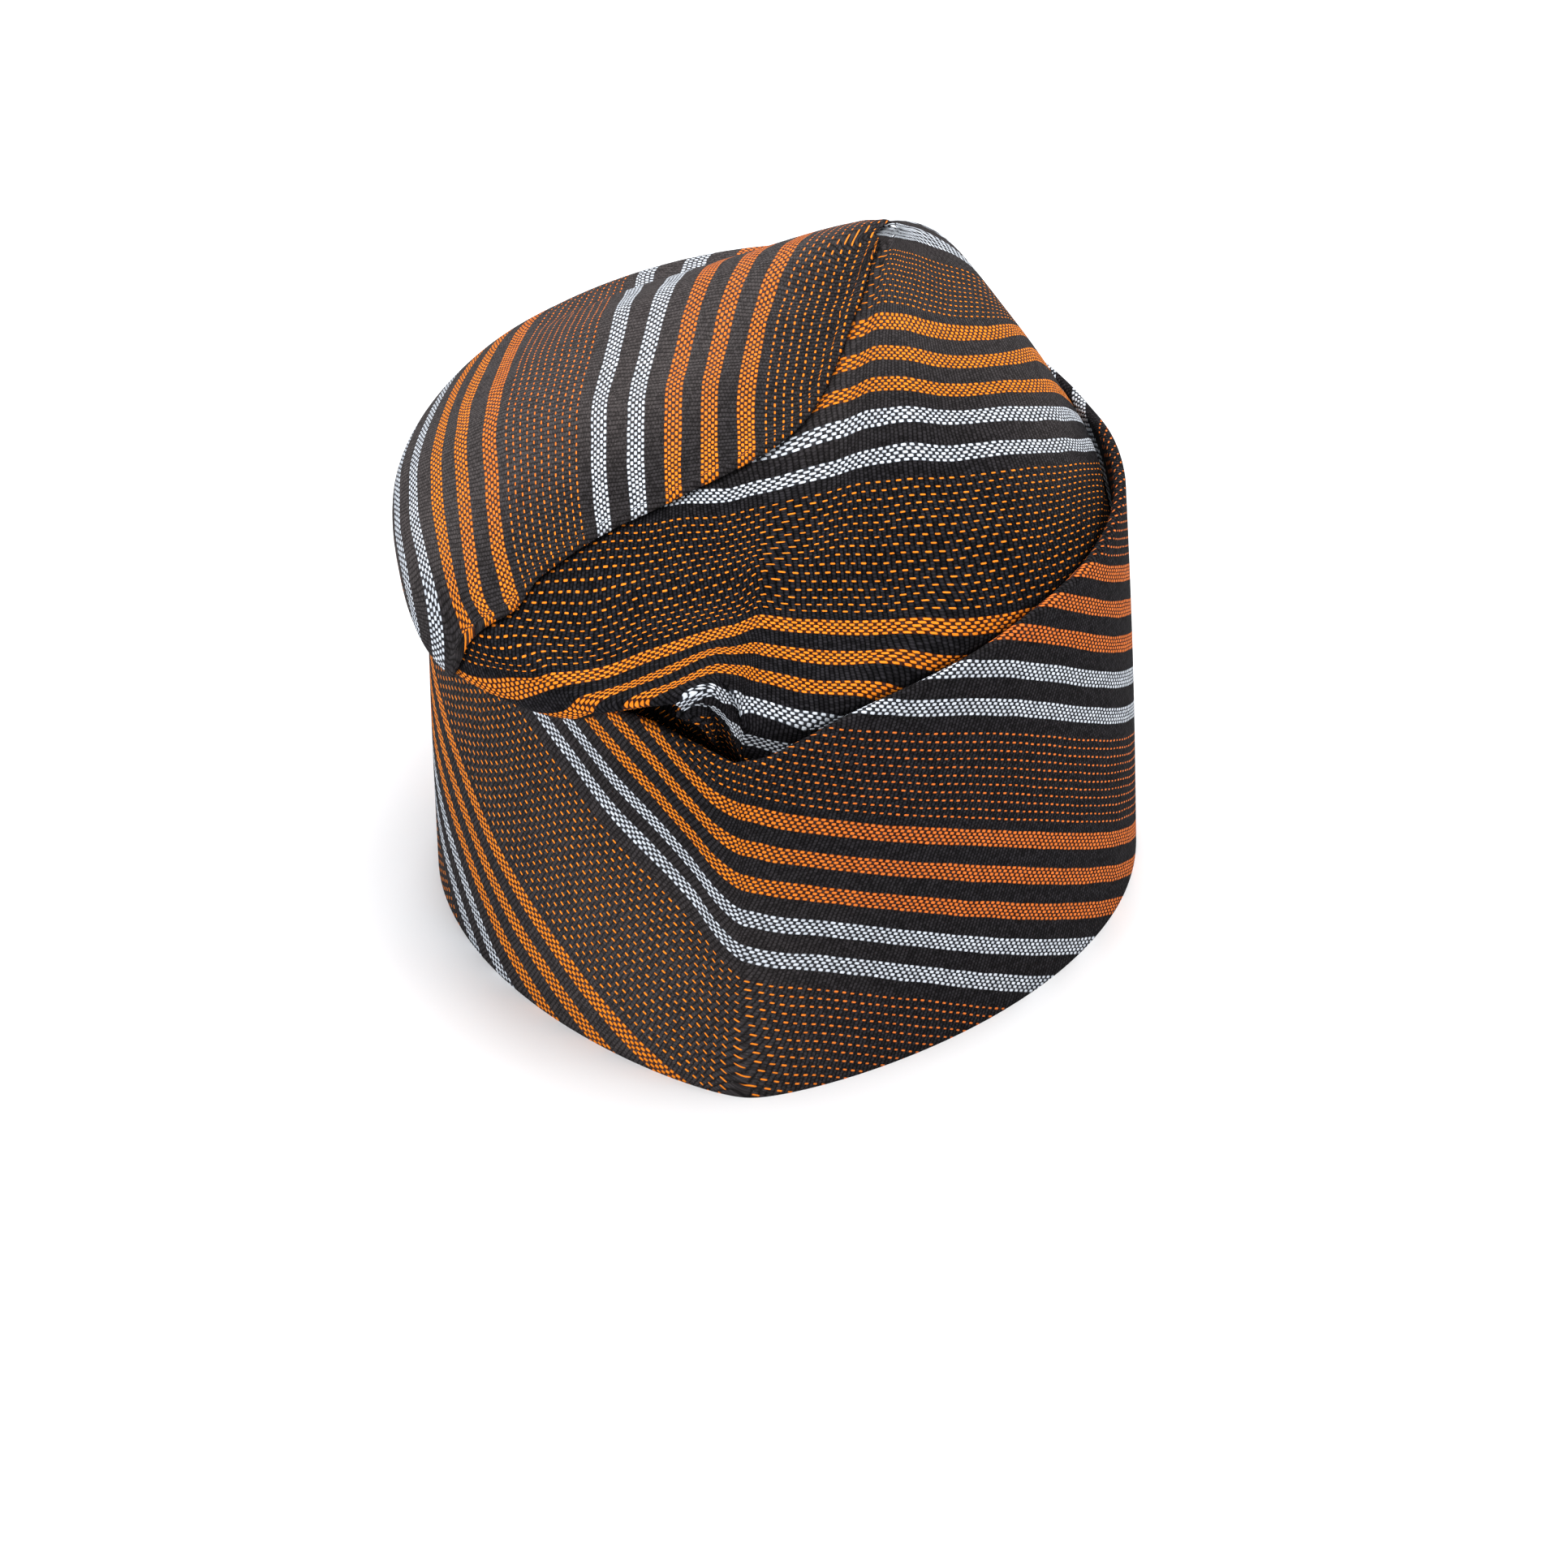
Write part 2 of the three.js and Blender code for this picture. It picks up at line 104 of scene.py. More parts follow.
# A row for each section of the crown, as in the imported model
SECTION_COLUMNS = ("angle", "pocket", "hem", "reach", "drop", "brim", "shoulder", "side", "top")
SECTIONS = (
    (-180, 0.07, 0.92, 0.95, -0.10, 0.17, 0.41, 0.71, 0.91),
    (-150, 0.07, 0.92, 1.00, 0.00, 0.15, 0.36, 0.64, 0.88),
    (-120, 0.07, 0.92, 1.05, 0.06, 0.20, 0.43, 0.67, 0.87),
    (-90, 0.07, 1.00, 1.05, 0.12, 0.22, 0.44, 0.65, 0.86),
    (-65, 0.07, 1.08, 0.98, 0.59, 0.06, 0.28, 0.56, 0.81),
    (-48, 0.07, 1.08, 0.67, 0.41, -0.03, 0.18, 0.50, 0.77),
    (-35, 0.21, 1.08, 0.67, 0.06, -0.05, 0.13, 0.47, 0.74),
    (-22, 0.57, 1.08, 0.50, -0.47, 0.06, 0.13, 0.43, 0.74),
    (-10, 1.00, 1.25, 0.05, -1.00, 0.15, 0.15, 0.40, 0.77),
    (4, 0.71, 1.42, -0.62, 0.53, -0.06, 0.07, 0.41, 0.81),
    (18, 0.21, 1.08, -0.12, 0.71, -0.14, 0.07, 0.55, 0.90),
    (40, 0.07, 1.00, -0.12, 0.71, -0.05, 0.27, 0.77, 0.98),
    (65, 0.07, 1.00, -0.12, 0.71, -0.01, 0.43, 0.83, 1.01),
    (90, 0.07, 1.00, -0.12, 0.71, -0.03, 0.38, 0.84, 1.01),
    (120, 0.07, 1.00, -0.12, 0.59, 0.00, 0.35, 0.80, 1.01),
    (143, 0.14, 1.00, -0.12, -0.10, 0.14, 0.48, 0.85, 0.99),
    (158, 0.43, 0.92, 0.08, -0.85, 0.26, 0.49, 0.82, 0.97),
)
CROWN = {name: column for name, column in zip(SECTION_COLUMNS, zip(*SECTIONS))}
# The share of the outline that each ring over the crown's top has, and the numbers of some stations up a section
RING = {"brim": 0.88, "shoulder": 0.70, "side": 0.45, "top": 0.20}
STATION = {"rim": 0, "neck": 2, "lip": 9, "brow": 10}

# Where the crown's top stops following the outline and is drawn to the peak, and where it loses its point
PULL_SHARE = 0.92
PULL_POWER = 1.25
POINTED_SHARES = (0.70, 0.93)
# The degrees between the points that give the outline's normal, and the steps that its length is measured in
NORMAL_STEP = 0.05
LENGTH_STEPS = 2880
# The cosines between which the outline's power goes from the back's to the front's
POINT_COSINES = (-0.6, 0.4)
# The lip hangs over the band where it reaches past the first of these, and fully past the second, in
# millimetres; it comes out from inside the band between the next two shares of its reach
HANGS_FROM = (-3.5, 2)
REACH_SHARES = (-0.12, 0.25)
# How much of the pocket's depth the crown keeps where it wraps the band's top edge, and the degrees of that
# turn, each with its share of the tuck
POCKET_AT_EDGE = 0.4
WRAP_TURNS = {0: 1, 50: 0.5, 90: 0, 140: 0}
# How far the flap's cover of the crown fades in past its edges, in degrees
COVER_FADE = 10

FLAP_EDGE = {
    "station": (2.0, 7.5, 9, 9.5, 10.2, 11.3, 11.8, 12.2, 12.6, 12.9, 13.2, 13.5, 13.8, 14.2, 14.5, 14.8),
    "angle": (-61, -61, -57.8, -55.4, -52.6, -52, -48.4, -44.5, -35.5, -26.4, -16.6, -8, -5.5, -5.5, -9.5, -30),
}
FLAP_BACK_SEAM = -184
RIPPLE_STATIONS = (10.2, 11.8)


def smooth_step(value, start, end):
    """0 before start, 1 after end and 3t² - 2t³ between them."""
    t = np.clip((value - start) / (end - start), 0, 1)
    return t * t * (3 - 2 * t)


def table(rows, key, column, at, period=0):
    """A column of a table as a smooth function of its key: cubic pieces whose slope at each row is the
    harmonic mean of the slopes beside it, so nothing overshoots between rows."""
    keys, values = np.array(rows[key], float), np.array(rows[column], float)
    if period:
        keys = np.concatenate([keys[-1:] - period, keys, keys[:2] + period])
        values = np.concatenate([values[-1:], values, values[:2]])
        at = keys[1] + np.mod(at - keys[1], period)
    at = np.clip(at, keys[0], keys[-1])
    rise = np.diff(values) / np.diff(keys)
    slope = np.zeros(len(keys))
    before, after = rise[:-1], rise[1:]
    total = np.where(before + after == 0, 1, before + after)
    slope[1:-1] = np.where(before * after > 0, 2 * before * after / total, 0)
    i = np.clip(np.searchsorted(keys, at, side="right") - 1, 0, len(keys) - 2)
    step = keys[i + 1] - keys[i]
    w = (at - keys[i]) / step
    return (
        (2 * w**3 - 3 * w**2 + 1) * values[i]
        + (w**3 - 2 * w**2 + w) * step * slope[i]
        + (3 * w**2 - 2 * w**3) * values[i + 1]
        + (w**3 - w**2) * step * slope[i + 1]
    )


def plan(angle, pointed=1.0, rounded=0.0):
    """The rim's outline: x is the half width times the sine of the angle raised to a power, y the half
    length times its cosine. The power is larger at the front, which draws it to a soft point. A rounded
    share is added to the sine squared under that power, which blunts the point."""
    sine, cosine = np.sin(np.radians(angle)), np.cos(np.radians(angle))
    power = BACK_POINT + (FRONT_POINT - BACK_POINT) * smooth_step(cosine, *POINT_COSINES)
    power = 1 + (power - 1) * pointed
    blunt = rounded * (cosine > 0)
    half = (power - 1) / 2
    x = HALF_WIDTH * sine * np.maximum(sine**2 + blunt**2, LEAST_SQUARE) ** half / (1 + blunt**2) ** half
    return np.stack([x, np.broadcast_to(-HALF_LENGTH * cosine, x.shape)], -1)


def plan_normal(angle):
    """The outline's outward normal, from two points a small step to each side."""
    tangent = plan(angle + NORMAL_STEP) - plan(angle - NORMAL_STEP)
    normal = np.stack([tangent[..., 1], -tangent[..., 0]], -1)
    return normal / np.linalg.norm(normal, axis=-1, keepdims=True)


def lean(height):
    """The band leans in as it rises: the share of the rim's outline that it has at a height."""
    return 1 - (BAND_LEAN / HALF_WIDTH) * (height / BAND_HEIGHT)


def band_top(angle):
    """The height of the band's top edge at an angle."""
    return BAND_HEIGHT * table(BAND_TOP, "angle", "height", angle, 360)


def round_length(angle):
    """The length along the rim's outline from the middle of the front, signed as the angle is."""
    fine = np.linspace(-180, 180, LENGTH_STEPS + 1)
    steps = np.linalg.norm(np.diff(plan(fine), axis=0), axis=1)
    length = np.concatenate([[0], np.cumsum(steps)])
    return np.interp(angle, fine, length - np.interp(0, fine, length))


def sections(angle):
    """The stations of the crown's sections, (16, 2, angles): each is a share of the outline and a height.
    From the rim they go up inside the band to the neck, wrap its top edge where the lip hangs over it, or
    climb evenly to the lip where it doesn't, and go over four rings to the peak."""
    column = {name: table(CROWN, "angle", name, angle, 360) for name in SECTION_COLUMNS[1:]}
    reach = (plan(angle) * plan_normal(angle)).sum(-1)
    edge = band_top(angle)
    turned = np.mod(angle + 260, 360) - 260
    free = FLAP_EDGE["angle"][0] + 3
    cover = smooth_step(turned, FLAP_BACK_SEAM - COVER_FADE, FLAP_BACK_SEAM)
    cover = cover * (1 - smooth_step(turned, free, free + COVER_FADE)) * LAP
    inset = BAND_WALL + CLOTH_GAP + cover
    pocket = POCKET_DEPTH * column["pocket"]
    neck = edge - HEM_DEPTH * column["hem"]
    out = LIP_REACH * column["reach"] - inset * (1 - smooth_step(column["reach"], *REACH_SHARES))
    lip = edge - LIP_DROP * column["drop"]
    hangs = smooth_step(out, *HANGS_FROM)

    def at(height, offset):
        return np.stack([lean(height) + offset / reach, height + 0 * angle])

    def ring(name):
        return np.stack([RING[name] + 0 * angle, BAND_HEIGHT + CROWN_RISE * column[name]])

    foot = at(neck, -inset - pocket)
    lip_point = np.stack([lean(lip) + out / reach, lip])
    wrap = BAND_WALL / 2 + 2 * CLOTH_GAP + cover
    lift = LIP_LIFT * np.maximum(0, lip - edge)

    def round_edge(turn, share):
        height = edge - BAND_WALL / 2 + wrap * math.sin(math.radians(turn)) + (1 - share) * lift
        return at(height, -BAND_WALL / 2 - wrap * math.cos(math.radians(turn)) - POCKET_AT_EDGE * share * pocket)

    under = np.minimum(wrap - BAND_WALL / 2, out - 2.6 * CROWN_WALL)
    wrapped = [round_edge(turn, share) for turn, share in WRAP_TURNS.items()]
    wrapped += [at(lip - 1.5 * CROWN_WALL, under), at(lip - 2.7 * CROWN_WALL, (under + out) / 2)]
    shares = (np.arange(len(wrapped)) + 1) / (len(wrapped) + 1)
    plain = [foot + (lip_point - foot) * share for share in shares]
    climb = [even + (turned_up - even) * hangs for even, turned_up in zip(plain, wrapped)]
    brim = ring("brim")
    middle = (lip + brim[1]) / 2
    high = np.maximum(edge + cover + 3.5 * CROWN_WALL, middle + CROWN_WALL)
    plain_brow = np.stack([(lip_point[0] + brim[0]) / 2, middle + CLOTH_GAP])
    hung_brow = np.stack([lean(lip) + (out - CROWN_WALL) / reach, high])
    brow = plain_brow + (hung_brow - plain_brow) * hangs
    peak = np.stack([0 * angle, 0 * angle + BAND_HEIGHT + CROWN_RISE])
    start = [at(0 * angle, -inset), at(neck / 2, -inset), foot]
    return np.stack(start + climb + [lip_point, brow, brim, ring("shoulder"), ring("side"), ring("top"), peak])


def crown_place(angle, share, height):
    """A share of the outline and a height as a place: the outline draws towards the peak as its share falls."""
    pull = np.maximum(0, 1 - share / PULL_SHARE) ** PULL_POWER
    base = plan(angle, smooth_step(share, *POINTED_SHARES)) * share[..., None]
    return np.concatenate([base + pull[..., None] * np.array(PEAK), height[..., None]], -1)


def crown_surface(angle, station):
    """The crown's outer face on a grid of stations (rows) and angles (columns): a Catmull-Rom curve through
    each section's stations, which runs on over the peak into the opposite section."""
    points = sections(angle)
    opposite = sections(angle + 180)[-2] * np.array([[-1.0], [1.0]])
    padded = np.concatenate([(2 * points[0] - points[1])[None], points, opposite[None]])
    i = np.clip(np.floor(station).astype(int), 0, len(points) - 2)
    w = (station - i)[:, None, None]
    a, b, c, d = padded[i], padded[i + 1], padded[i + 2], padded[i + 3]
    curve = 0.5 * (2 * b + (c - a) * w + (2 * a - 5 * b + 4 * c - d) * w**2 + (3 * b - a - 3 * c + d) * w**3)
    angles = np.broadcast_to(angle, curve[:, 0].shape)
    base = crown_place(angles, np.maximum(0, curve[:, 0]), curve[:, 1])
    loose = smooth_step(station, *RIPPLE_STATIONS)[:, None]
    return base + normals(base, True) * (loose * ripples(base))[..., None]


# Soft folds of the crown's top: the line that each runs along on the plan, its height, and the distance from
# the line at which about a third of that height is left
FOLD_COLUMNS = ("x", "y", "to_x", "to_y", "height", "width")
FOLDS = (
    (33, -24, 28, 34, 1.2, 7.5),
    (46, -24, 43, 26, -1.0, 8.0),
    (66, 4, 60, 36, 0.9, 7.0),
    (-44, -5, -6, 3, 1.1, 6.0),
    (-30, -22, 4, -6, -0.8, 5.0),
    (-4, 19, 17, 20, 1.0, 3.2),
    (-8, 27, 14, 28, -0.9, 4.5),
    (-62, 18, -38, 34, 0.9, 8.0),
    (-58, 44, -30, 52, -0.9, 8.0),
    (-24, -57, 62, -39, 1.3, 4.5),
    (-8, -63, 58, -51, -0.9, 5.0),
)


def ripples(points):
    """The height of the soft folds: each is a bell of the distance from a straight line, drawn out along it,
    and fades over its ends as a bell of the distance past them."""
    x, y = points[..., 0], points[..., 1]
    total = np.zeros(x.shape)
    for fold in FOLDS:
        row = dict(zip(FOLD_COLUMNS, fold))
        along_x, along_y = row["to_x"] - row["x"], row["to_y"] - row["y"]
        share = ((x - row["x"]) * along_x + (y - row["y"]) * along_y) / (along_x**2 + along_y**2)
        share = np.clip(share, 0, 1)
        away = (x - row["x"] - share * along_x) ** 2 + (y - row["y"] - share * along_y) ** 2
        total = total + row["height"] * np.exp(-away / row["width"] ** 2)
    return total


def tangents(points, closed):
    """The steps of a grid of points along its rows and its columns, by central differences."""
    down = np.gradient(points, axis=0)
    if closed:
        across = (np.roll(points, -1, axis=1) - np.roll(points, 1, axis=1)) / 2
    else:
        across = np.gradient(points, axis=1)
    return down, across


def station_rows(runs):
    """The stations of a grid, evenly set over each run: its first, its last and how many. A run starts where
    the one before it ends."""
    rows = [np.linspace(*run) for run in runs]
    return np.concatenate([row[:-1] for row in rows[:-1]] + rows[-1:])


def normals(points, closed):
    """The outward normals of a grid whose rows climb and whose columns go round with the angle."""
    climb, around = tangents(points, closed)
    normal = np.cross(around, climb)
    return normal / np.maximum(np.linalg.norm(normal, axis=-1, keepdims=True), TINY)


def cosines(count):
    """The cosine waves that fit a row of cells, one wave a row, and how strongly a step sees each."""
    wave, cell = np.meshgrid(np.arange(count), np.arange(count) + 0.5, indexing="ij")
    basis = np.cos(np.pi * wave * cell / count) * np.where(wave == 0, math.sqrt(1 / count), math.sqrt(2 / count))
    return basis, 2 - 2 * np.cos(np.pi * np.arange(count) / count)


SOLVE_STEPS = 90


def along_stripes(points, across, closed, weight):
    """The coordinate that runs along the stripes. Each step of the grid should change it by the step's part
    in the stripes' own direction, which is square to the rise of across on the surface. The values whose
    steps come nearest to that, with a weight for each place, are found by conjugate gradients, where each
    residual is first undone wave by wave: cosine waves up the grid, and whole waves round a closed one."""
    climb, around = tangents(points, closed)
    rise, turn = tangents(across, closed)
    e, f, g = (climb**2).sum(-1), (climb * around).sum(-1), (around**2).sum(-1)
    area = np.maximum(e * g - f * f, TINY)
    slope = ((g * rise - f * turn) / area)[..., None] * climb + ((e * turn - f * rise) / area)[..., None] * around
    stripe = np.cross(normals(points, closed), slope)
    stripe = stripe / np.maximum(np.linalg.norm(stripe, axis=-1, keepdims=True), TINY)
    edge = "wrap" if closed else "edge"
    last = points.shape[1] if closed else points.shape[1] - 1

    def beside(grid):
        wider = np.pad(grid, [(0, 0), (0, 1)] + [(0, 0)] * (grid.ndim - 2), mode=edge)
        return grid[:, :last], wider[:, 1 : last + 1]

    def gather(down, over):
        total = np.zeros(points.shape[:2])
        total[1:] += down
        total[:-1] -= down
        total[:, :last] -= over
        total += np.roll(over, 1, axis=1) if closed else np.pad(over, [(0, 0), (1, 0)])
        return total

    here, there = beside(points)
    stripe_here, stripe_there = beside(stripe)
    weight_here, weight_there = beside(weight)
    weight_over, weight_down = np.minimum(weight_here, weight_there), np.minimum(weight[1:], weight[:-1])
    down = ((points[1:] - points[:-1]) * (stripe[1:] + stripe[:-1]) / 2).sum(-1)
    over = ((there - here) * (stripe_here + stripe_there) / 2).sum(-1)
    basis, sight = cosines(points.shape[0])
    side, side_sight = cosines(points.shape[1])
    if closed:
        side_sight = 2 - 2 * np.cos(2 * np.pi * np.fft.fftfreq(points.shape[1]))
    strength = sight[:, None] + side_sight
    strength[0, 0] = np.inf

    def undo(field):
        if closed:
            return basis.T @ np.fft.ifft(np.fft.fft(basis @ field, axis=1) / strength, axis=1).real
        return basis.T @ ((basis @ field @ side.T) / strength) @ side

    def apply(field):
        near, far = beside(field)
        return gather(weight_down * (field[1:] - field[:-1]), weight_over * (far - near))

    value = np.zeros(points.shape[:2])
    residual = gather(weight_down * down, weight_over * over)
    ready = undo(residual)
    search, power = ready.copy(), (residual * ready).sum()
    for _ in range(SOLVE_STEPS):
        applied = apply(search)
        length = power / (search * applied).sum()
        value += length * search
        residual -= length * applied
        ready = undo(residual)
        renewed = (residual * ready).sum()
        search = ready + (renewed / power) * search
        power = renewed
    return value


# The stripes' own chart: millimetres across them from the middle of the first orange stripe of a group. The
# distances between the middles of its orange and of its silver stripes, where the first silver one and the
# dotted rows lie, and what is left between the last dotted row and the next group
GROUP = {"orange": 9.9, "silver": 10.2, "first_silver": 29.85, "dots": 46.05, "before_next": 4.15}
NARROW_DOTS = 25.5
WIDE_DOTS = 39
STRIPE_ROWS = 5
NARROW_ROWS = 11
WIDE_ROWS = 17
DOT_ROW = 2.3
STRIPE_ROW = 0.95
DASH_STEP = {"band": 1.95, "crown": 1.95, "flap": 1.65}
DOT_STEP = {"band": 2.4, "crown": 2.55, "flap": 2.05}
RIB_STEP = 1.1
BEAD_STEP = 0.94
SECOND_GROUP = GROUP["dots"] + WIDE_DOTS + GROUP["before_next"]
REPEAT = SECOND_GROUP + GROUP["dots"] + NARROW_DOTS + GROUP["before_next"]
LAST_SILVER = GROUP["first_silver"] + GROUP["silver"]
CHART_UNIT = 100

# The band's stripes: at a length round the rim, the heights where the first orange stripe of a group, its
# last silver one and the first orange one of the next group lie. They carry on beyond the top and the rim.
BEYOND_RATE = 0.88
BAND_STRIPES = {
    "round": (-298, -200, -120, -100, -80, -55, -35, -23, -13, -6, 0, 17, 42, 72, 130, 200, 298),
    "orange": (272, 212, 162, 150, 137, 119, 106, 97.5, 88.8, 83.4, 80.7, 74, 63.2, 48.8, 15.5, -22, -72),
    "silver": (230, 172, 126, 112, 99, 84, 70, 63, 55.2, 46.5, 41, 35.6, 23.9, 7, -25, -62, -112),
    "next": (166, 112, 64, 51, 35.6, 20, 8, 1.5, -3, -8, -12, -18, -30, -46, -78, -115, -165),
}


def across_band(length, height):
    """Millimetres across the stripes on the band: even between the heights of the table's three stripes."""
    first, last, after = (table(BAND_STRIPES, "round", name, length) for name in ("orange", "silver", "next"))
    upper = LAST_SILVER * (first - height) / (first - last)
    lower = LAST_SILVER + (SECOND_GROUP - LAST_SILVER) * (last - height) / (last - after)
    beyond = SECOND_GROUP + (after - height) * BEYOND_RATE
    return np.where(height > last, upper, np.where(height > after, lower, beyond))


# The crown's stripes: where the first orange stripe above the lip runs, and what its distance up from there
# is on the chart
CROWN_STRIPE = {
    "x": (-90, -68, -53, -37, -22, -4, 3, 14, 29, 45, 58.6, 68, 78, 90),
    "y": (-30, -62, -74, -81, -79, -73, -67, -66.4, -65, -63.6, -54.3, -43, -24, 0),
    "z": (80, 87, 93, 102, 107, 110, 109.7, 108.1, 107.3, 107, 102.4, 98, 91, 82),
}
CROWN_CHART = {
    "up": (-60, -17, -8.5, 0, 38.5, 44, 53.8, 61, 69.8, 78.8, 84, 104, 114, 240),
    "chart": (-72, -19.8, -9.9, 0, 43.15, 49.15, 59.35, 69.4, 79.3, 89.2, 93.35, 118.85, 126, 276),
}
# Higher up the stripes no longer follow the dents of the first one: an even line below them, and how far they
# are from it on the silver pair and on the orange stripes above, as shares
CROWN_EVEN = {
    "x": (-90, -68, -50, -30, 0, 40, 58.6, 68, 78, 90),
    "y": (-30, -62, -76, -77.5, -69.5, -65, -54.3, -43, -24, 0),
    "z": (80, 87, 96, 102.5, 109.5, 107.5, 102.4, 98, 91, 82),
}
CROWN_SPREAD = {
    "x": (-55, -37, -19, -12, -7, -2, 4, 11, 17, 23, 31, 38, 45, 60),
    "silver": (0.87, 0.875, 0.94, 1.01, 1.05, 1.033, 1.004, 0.968, 0.95, 0.96, 0.98, 0.981, 0.982, 0.99),
    "orange": (0.87, 0.88, 0.94, 0.97, 0.975, 0.97, 0.958, 0.918, 0.90, 0.908, 0.95, 0.975, 0.98, 0.965),
}
STEADY_SHARE = 0.96
# The way up from the first stripe in y and z, and the distances from it over which the chart changes: from
# that way to the true distance, from the first stripe to the even line, and from the silver to the orange
UPWARD = (0.8, 0.6)
LINE_NEAR = (4, 9)
LINE_EVEN = (8, 30)
LINE_ORANGE = (46, 65)
CREST_FALL = {"start": -5, "end": 25, "share": 0.8}
SIDE_TURN = {"from_x": 50, "to_x": 62, "y": 10, "round": 10, "share": 0.55}


def across_crown(points, steady=False):
    """Millimetres across the stripes on the crown: the distance up from the first stripe, square to it, read
    on the chart. Round the side the stripes draw together, and behind the crest its fall is added. A steady
    one has the same share everywhere, so it shows how the cloth lies where the stripes are pulled askew."""
    x, y, z = points[..., 0], points[..., 1], points[..., 2]

    def up_from(line):
        over, rise = y - table(line, "x", "y", x), z - table(line, "x", "z", x)
        flat, far = over * UPWARD[0] + rise * UPWARD[1], np.hypot(over, rise)
        return flat + (far * np.where(flat > 0, 1, -1) - flat) * smooth_step(far, *LINE_NEAR)

    low, even = up_from(CROWN_STRIPE), up_from(CROWN_EVEN)
    silver, orange = (table(CROWN_SPREAD, "x", name, x) for name in ("silver", "orange"))
    if steady:
        silver, orange = STEADY_SHARE + 0 * silver, STEADY_SHARE + 0 * orange
    even = even * (silver + (orange - silver) * smooth_step(even * silver, *LINE_ORANGE))
    away = low + (even - low) * smooth_step(even, *LINE_EVEN)
    behind = smooth_step(y, PEAK[1] + CREST_FALL["start"], PEAK[1] + CREST_FALL["end"])
    fall = behind * np.maximum(0, BAND_HEIGHT + CROWN_RISE - z) * CREST_FALL["share"]
    past = y - SIDE_TURN["y"]
    turned = SIDE_TURN["share"] * (np.sqrt(past**2 + SIDE_TURN["round"] ** 2) + past) / 2
    turned = turned * smooth_step(x, SIDE_TURN["from_x"], SIDE_TURN["to_x"])
    return SECOND_GROUP - np.interp(away + fall - turned, CROWN_CHART["up"], CROWN_CHART["chart"])


# The flap's stripes: at a y, where the first orange stripe, the last silver one, the next two orange ones and
# the silver one by the lip run
FLAP_STRIPES = {
    "y": (-70, -54, -38, -20, -2, 20, 45, 80, 110),
    "orange": (2, -1, -3, -4.5, -5.9, -4.5, -0.5, 6, 12),
    "silver": (-30, -33, -37, -40, -41.3, -40, -39.8, -41, -43),
    "next": (-52, -57.5, -62.5, -65.8, -68.3, -69.0, -69.4, -66, -60),
    "second": (-59.5, -66, -69.5, -73, -75.8, -77.2, -75.5, -71.5, -65),
    "lip": (-70, -75.5, -81, -85.6, -87.4, -86.2, -84, -79, -72),
}
NEXT_NARROW = GROUP["dots"] + NARROW_DOTS + GROUP["before_next"]
FLAP_MARKS = (0, LAST_SILVER, NEXT_NARROW, NEXT_NARROW + GROUP["orange"], NEXT_NARROW + GROUP["first_silver"])
FLAP_RATES = {"first": 1.1, "last": 1.5}


def across_flap(points, below):
    """Millimetres across the stripes on the flap: even between the table's stripes, and further by the drop
    below the brim where the lip turns down."""
    x, y = points[..., 0], points[..., 1]
    names = [name for name in FLAP_STRIPES if name != "y"]
    lines = [table(FLAP_STRIPES, "y", name, y) for name in names]
    chart = (lines[0] - x) * FLAP_RATES["first"]
    for mark, after, line, following in zip(FLAP_MARKS, FLAP_MARKS[1:], lines, lines[1:]):
        chart = np.where(x < line, mark + (after - mark) * (line - x) / (line - following), chart)
    chart = np.where(x < lines[-1], FLAP_MARKS[-1] + (lines[-1] - x) * FLAP_RATES["last"], chart)
    return SECOND_GROUP + chart + below


def put_mesh(name, points, quads, triangles, chart, corners):
    """A mesh from its points in millimetres, its faces, and for each corner of a face its place on the
    stripes' chart, which becomes the UV map with a whole unit for every hundred millimetres."""
    mesh = bpy.data.meshes.new(name)
    moved = (points + np.array([SHIFT[0], SHIFT[1], 0])) * MM
    mesh.vertices.add(len(moved))
    mesh.vertices.foreach_set("co", moved.astype(np.float32).ravel())
    loops = np.concatenate([quads.ravel(), triangles.ravel()]).astype(np.int32)
    sizes = np.concatenate([np.full(len(quads), 4), np.full(len(triangles), 3)]).astype(np.int32)
    mesh.loops.add(len(loops))
    mesh.loops.foreach_set("vertex_index", loops)
    mesh.polygons.add(len(sizes))
    mesh.polygons.foreach_set("loop_start", np.concatenate([[0], np.cumsum(sizes)[:-1]]).astype(np.int32))
    mesh.polygons.foreach_set("loop_total", sizes)
    mesh.polygons.foreach_set("use_smooth", np.ones(len(sizes), bool))
    mesh.update(calc_edges=True)
    layer = mesh.uv_layers.new(name="cloth")
    layer.data.foreach_set("uv", (chart[corners] / CHART_UNIT).astype(np.float32).ravel())
    mesh.validate()
    made = bpy.data.objects.new(name, mesh)
    bpy.context.scene.collection.objects.link(made)
    return made


def put_painted_light_and_nap(made, painted_light_and_nap):
    """The painted light and the nap at each point as two attributes of the piece, each from 0 to 1: painted
    light, how far the orange yarn is painted in its lit, yellower colour rather than its shaded, redder one, and
    nap with painted sheen, how much loose fibre and a painted sheen grey the black ground."""
    for name, values in zip(("glow", "nap"), painted_light_and_nap):
        layer = made.data.attributes.new(name, "FLOAT", "POINT")
        layer.data.foreach_set("value", values.ravel().astype(np.float32))


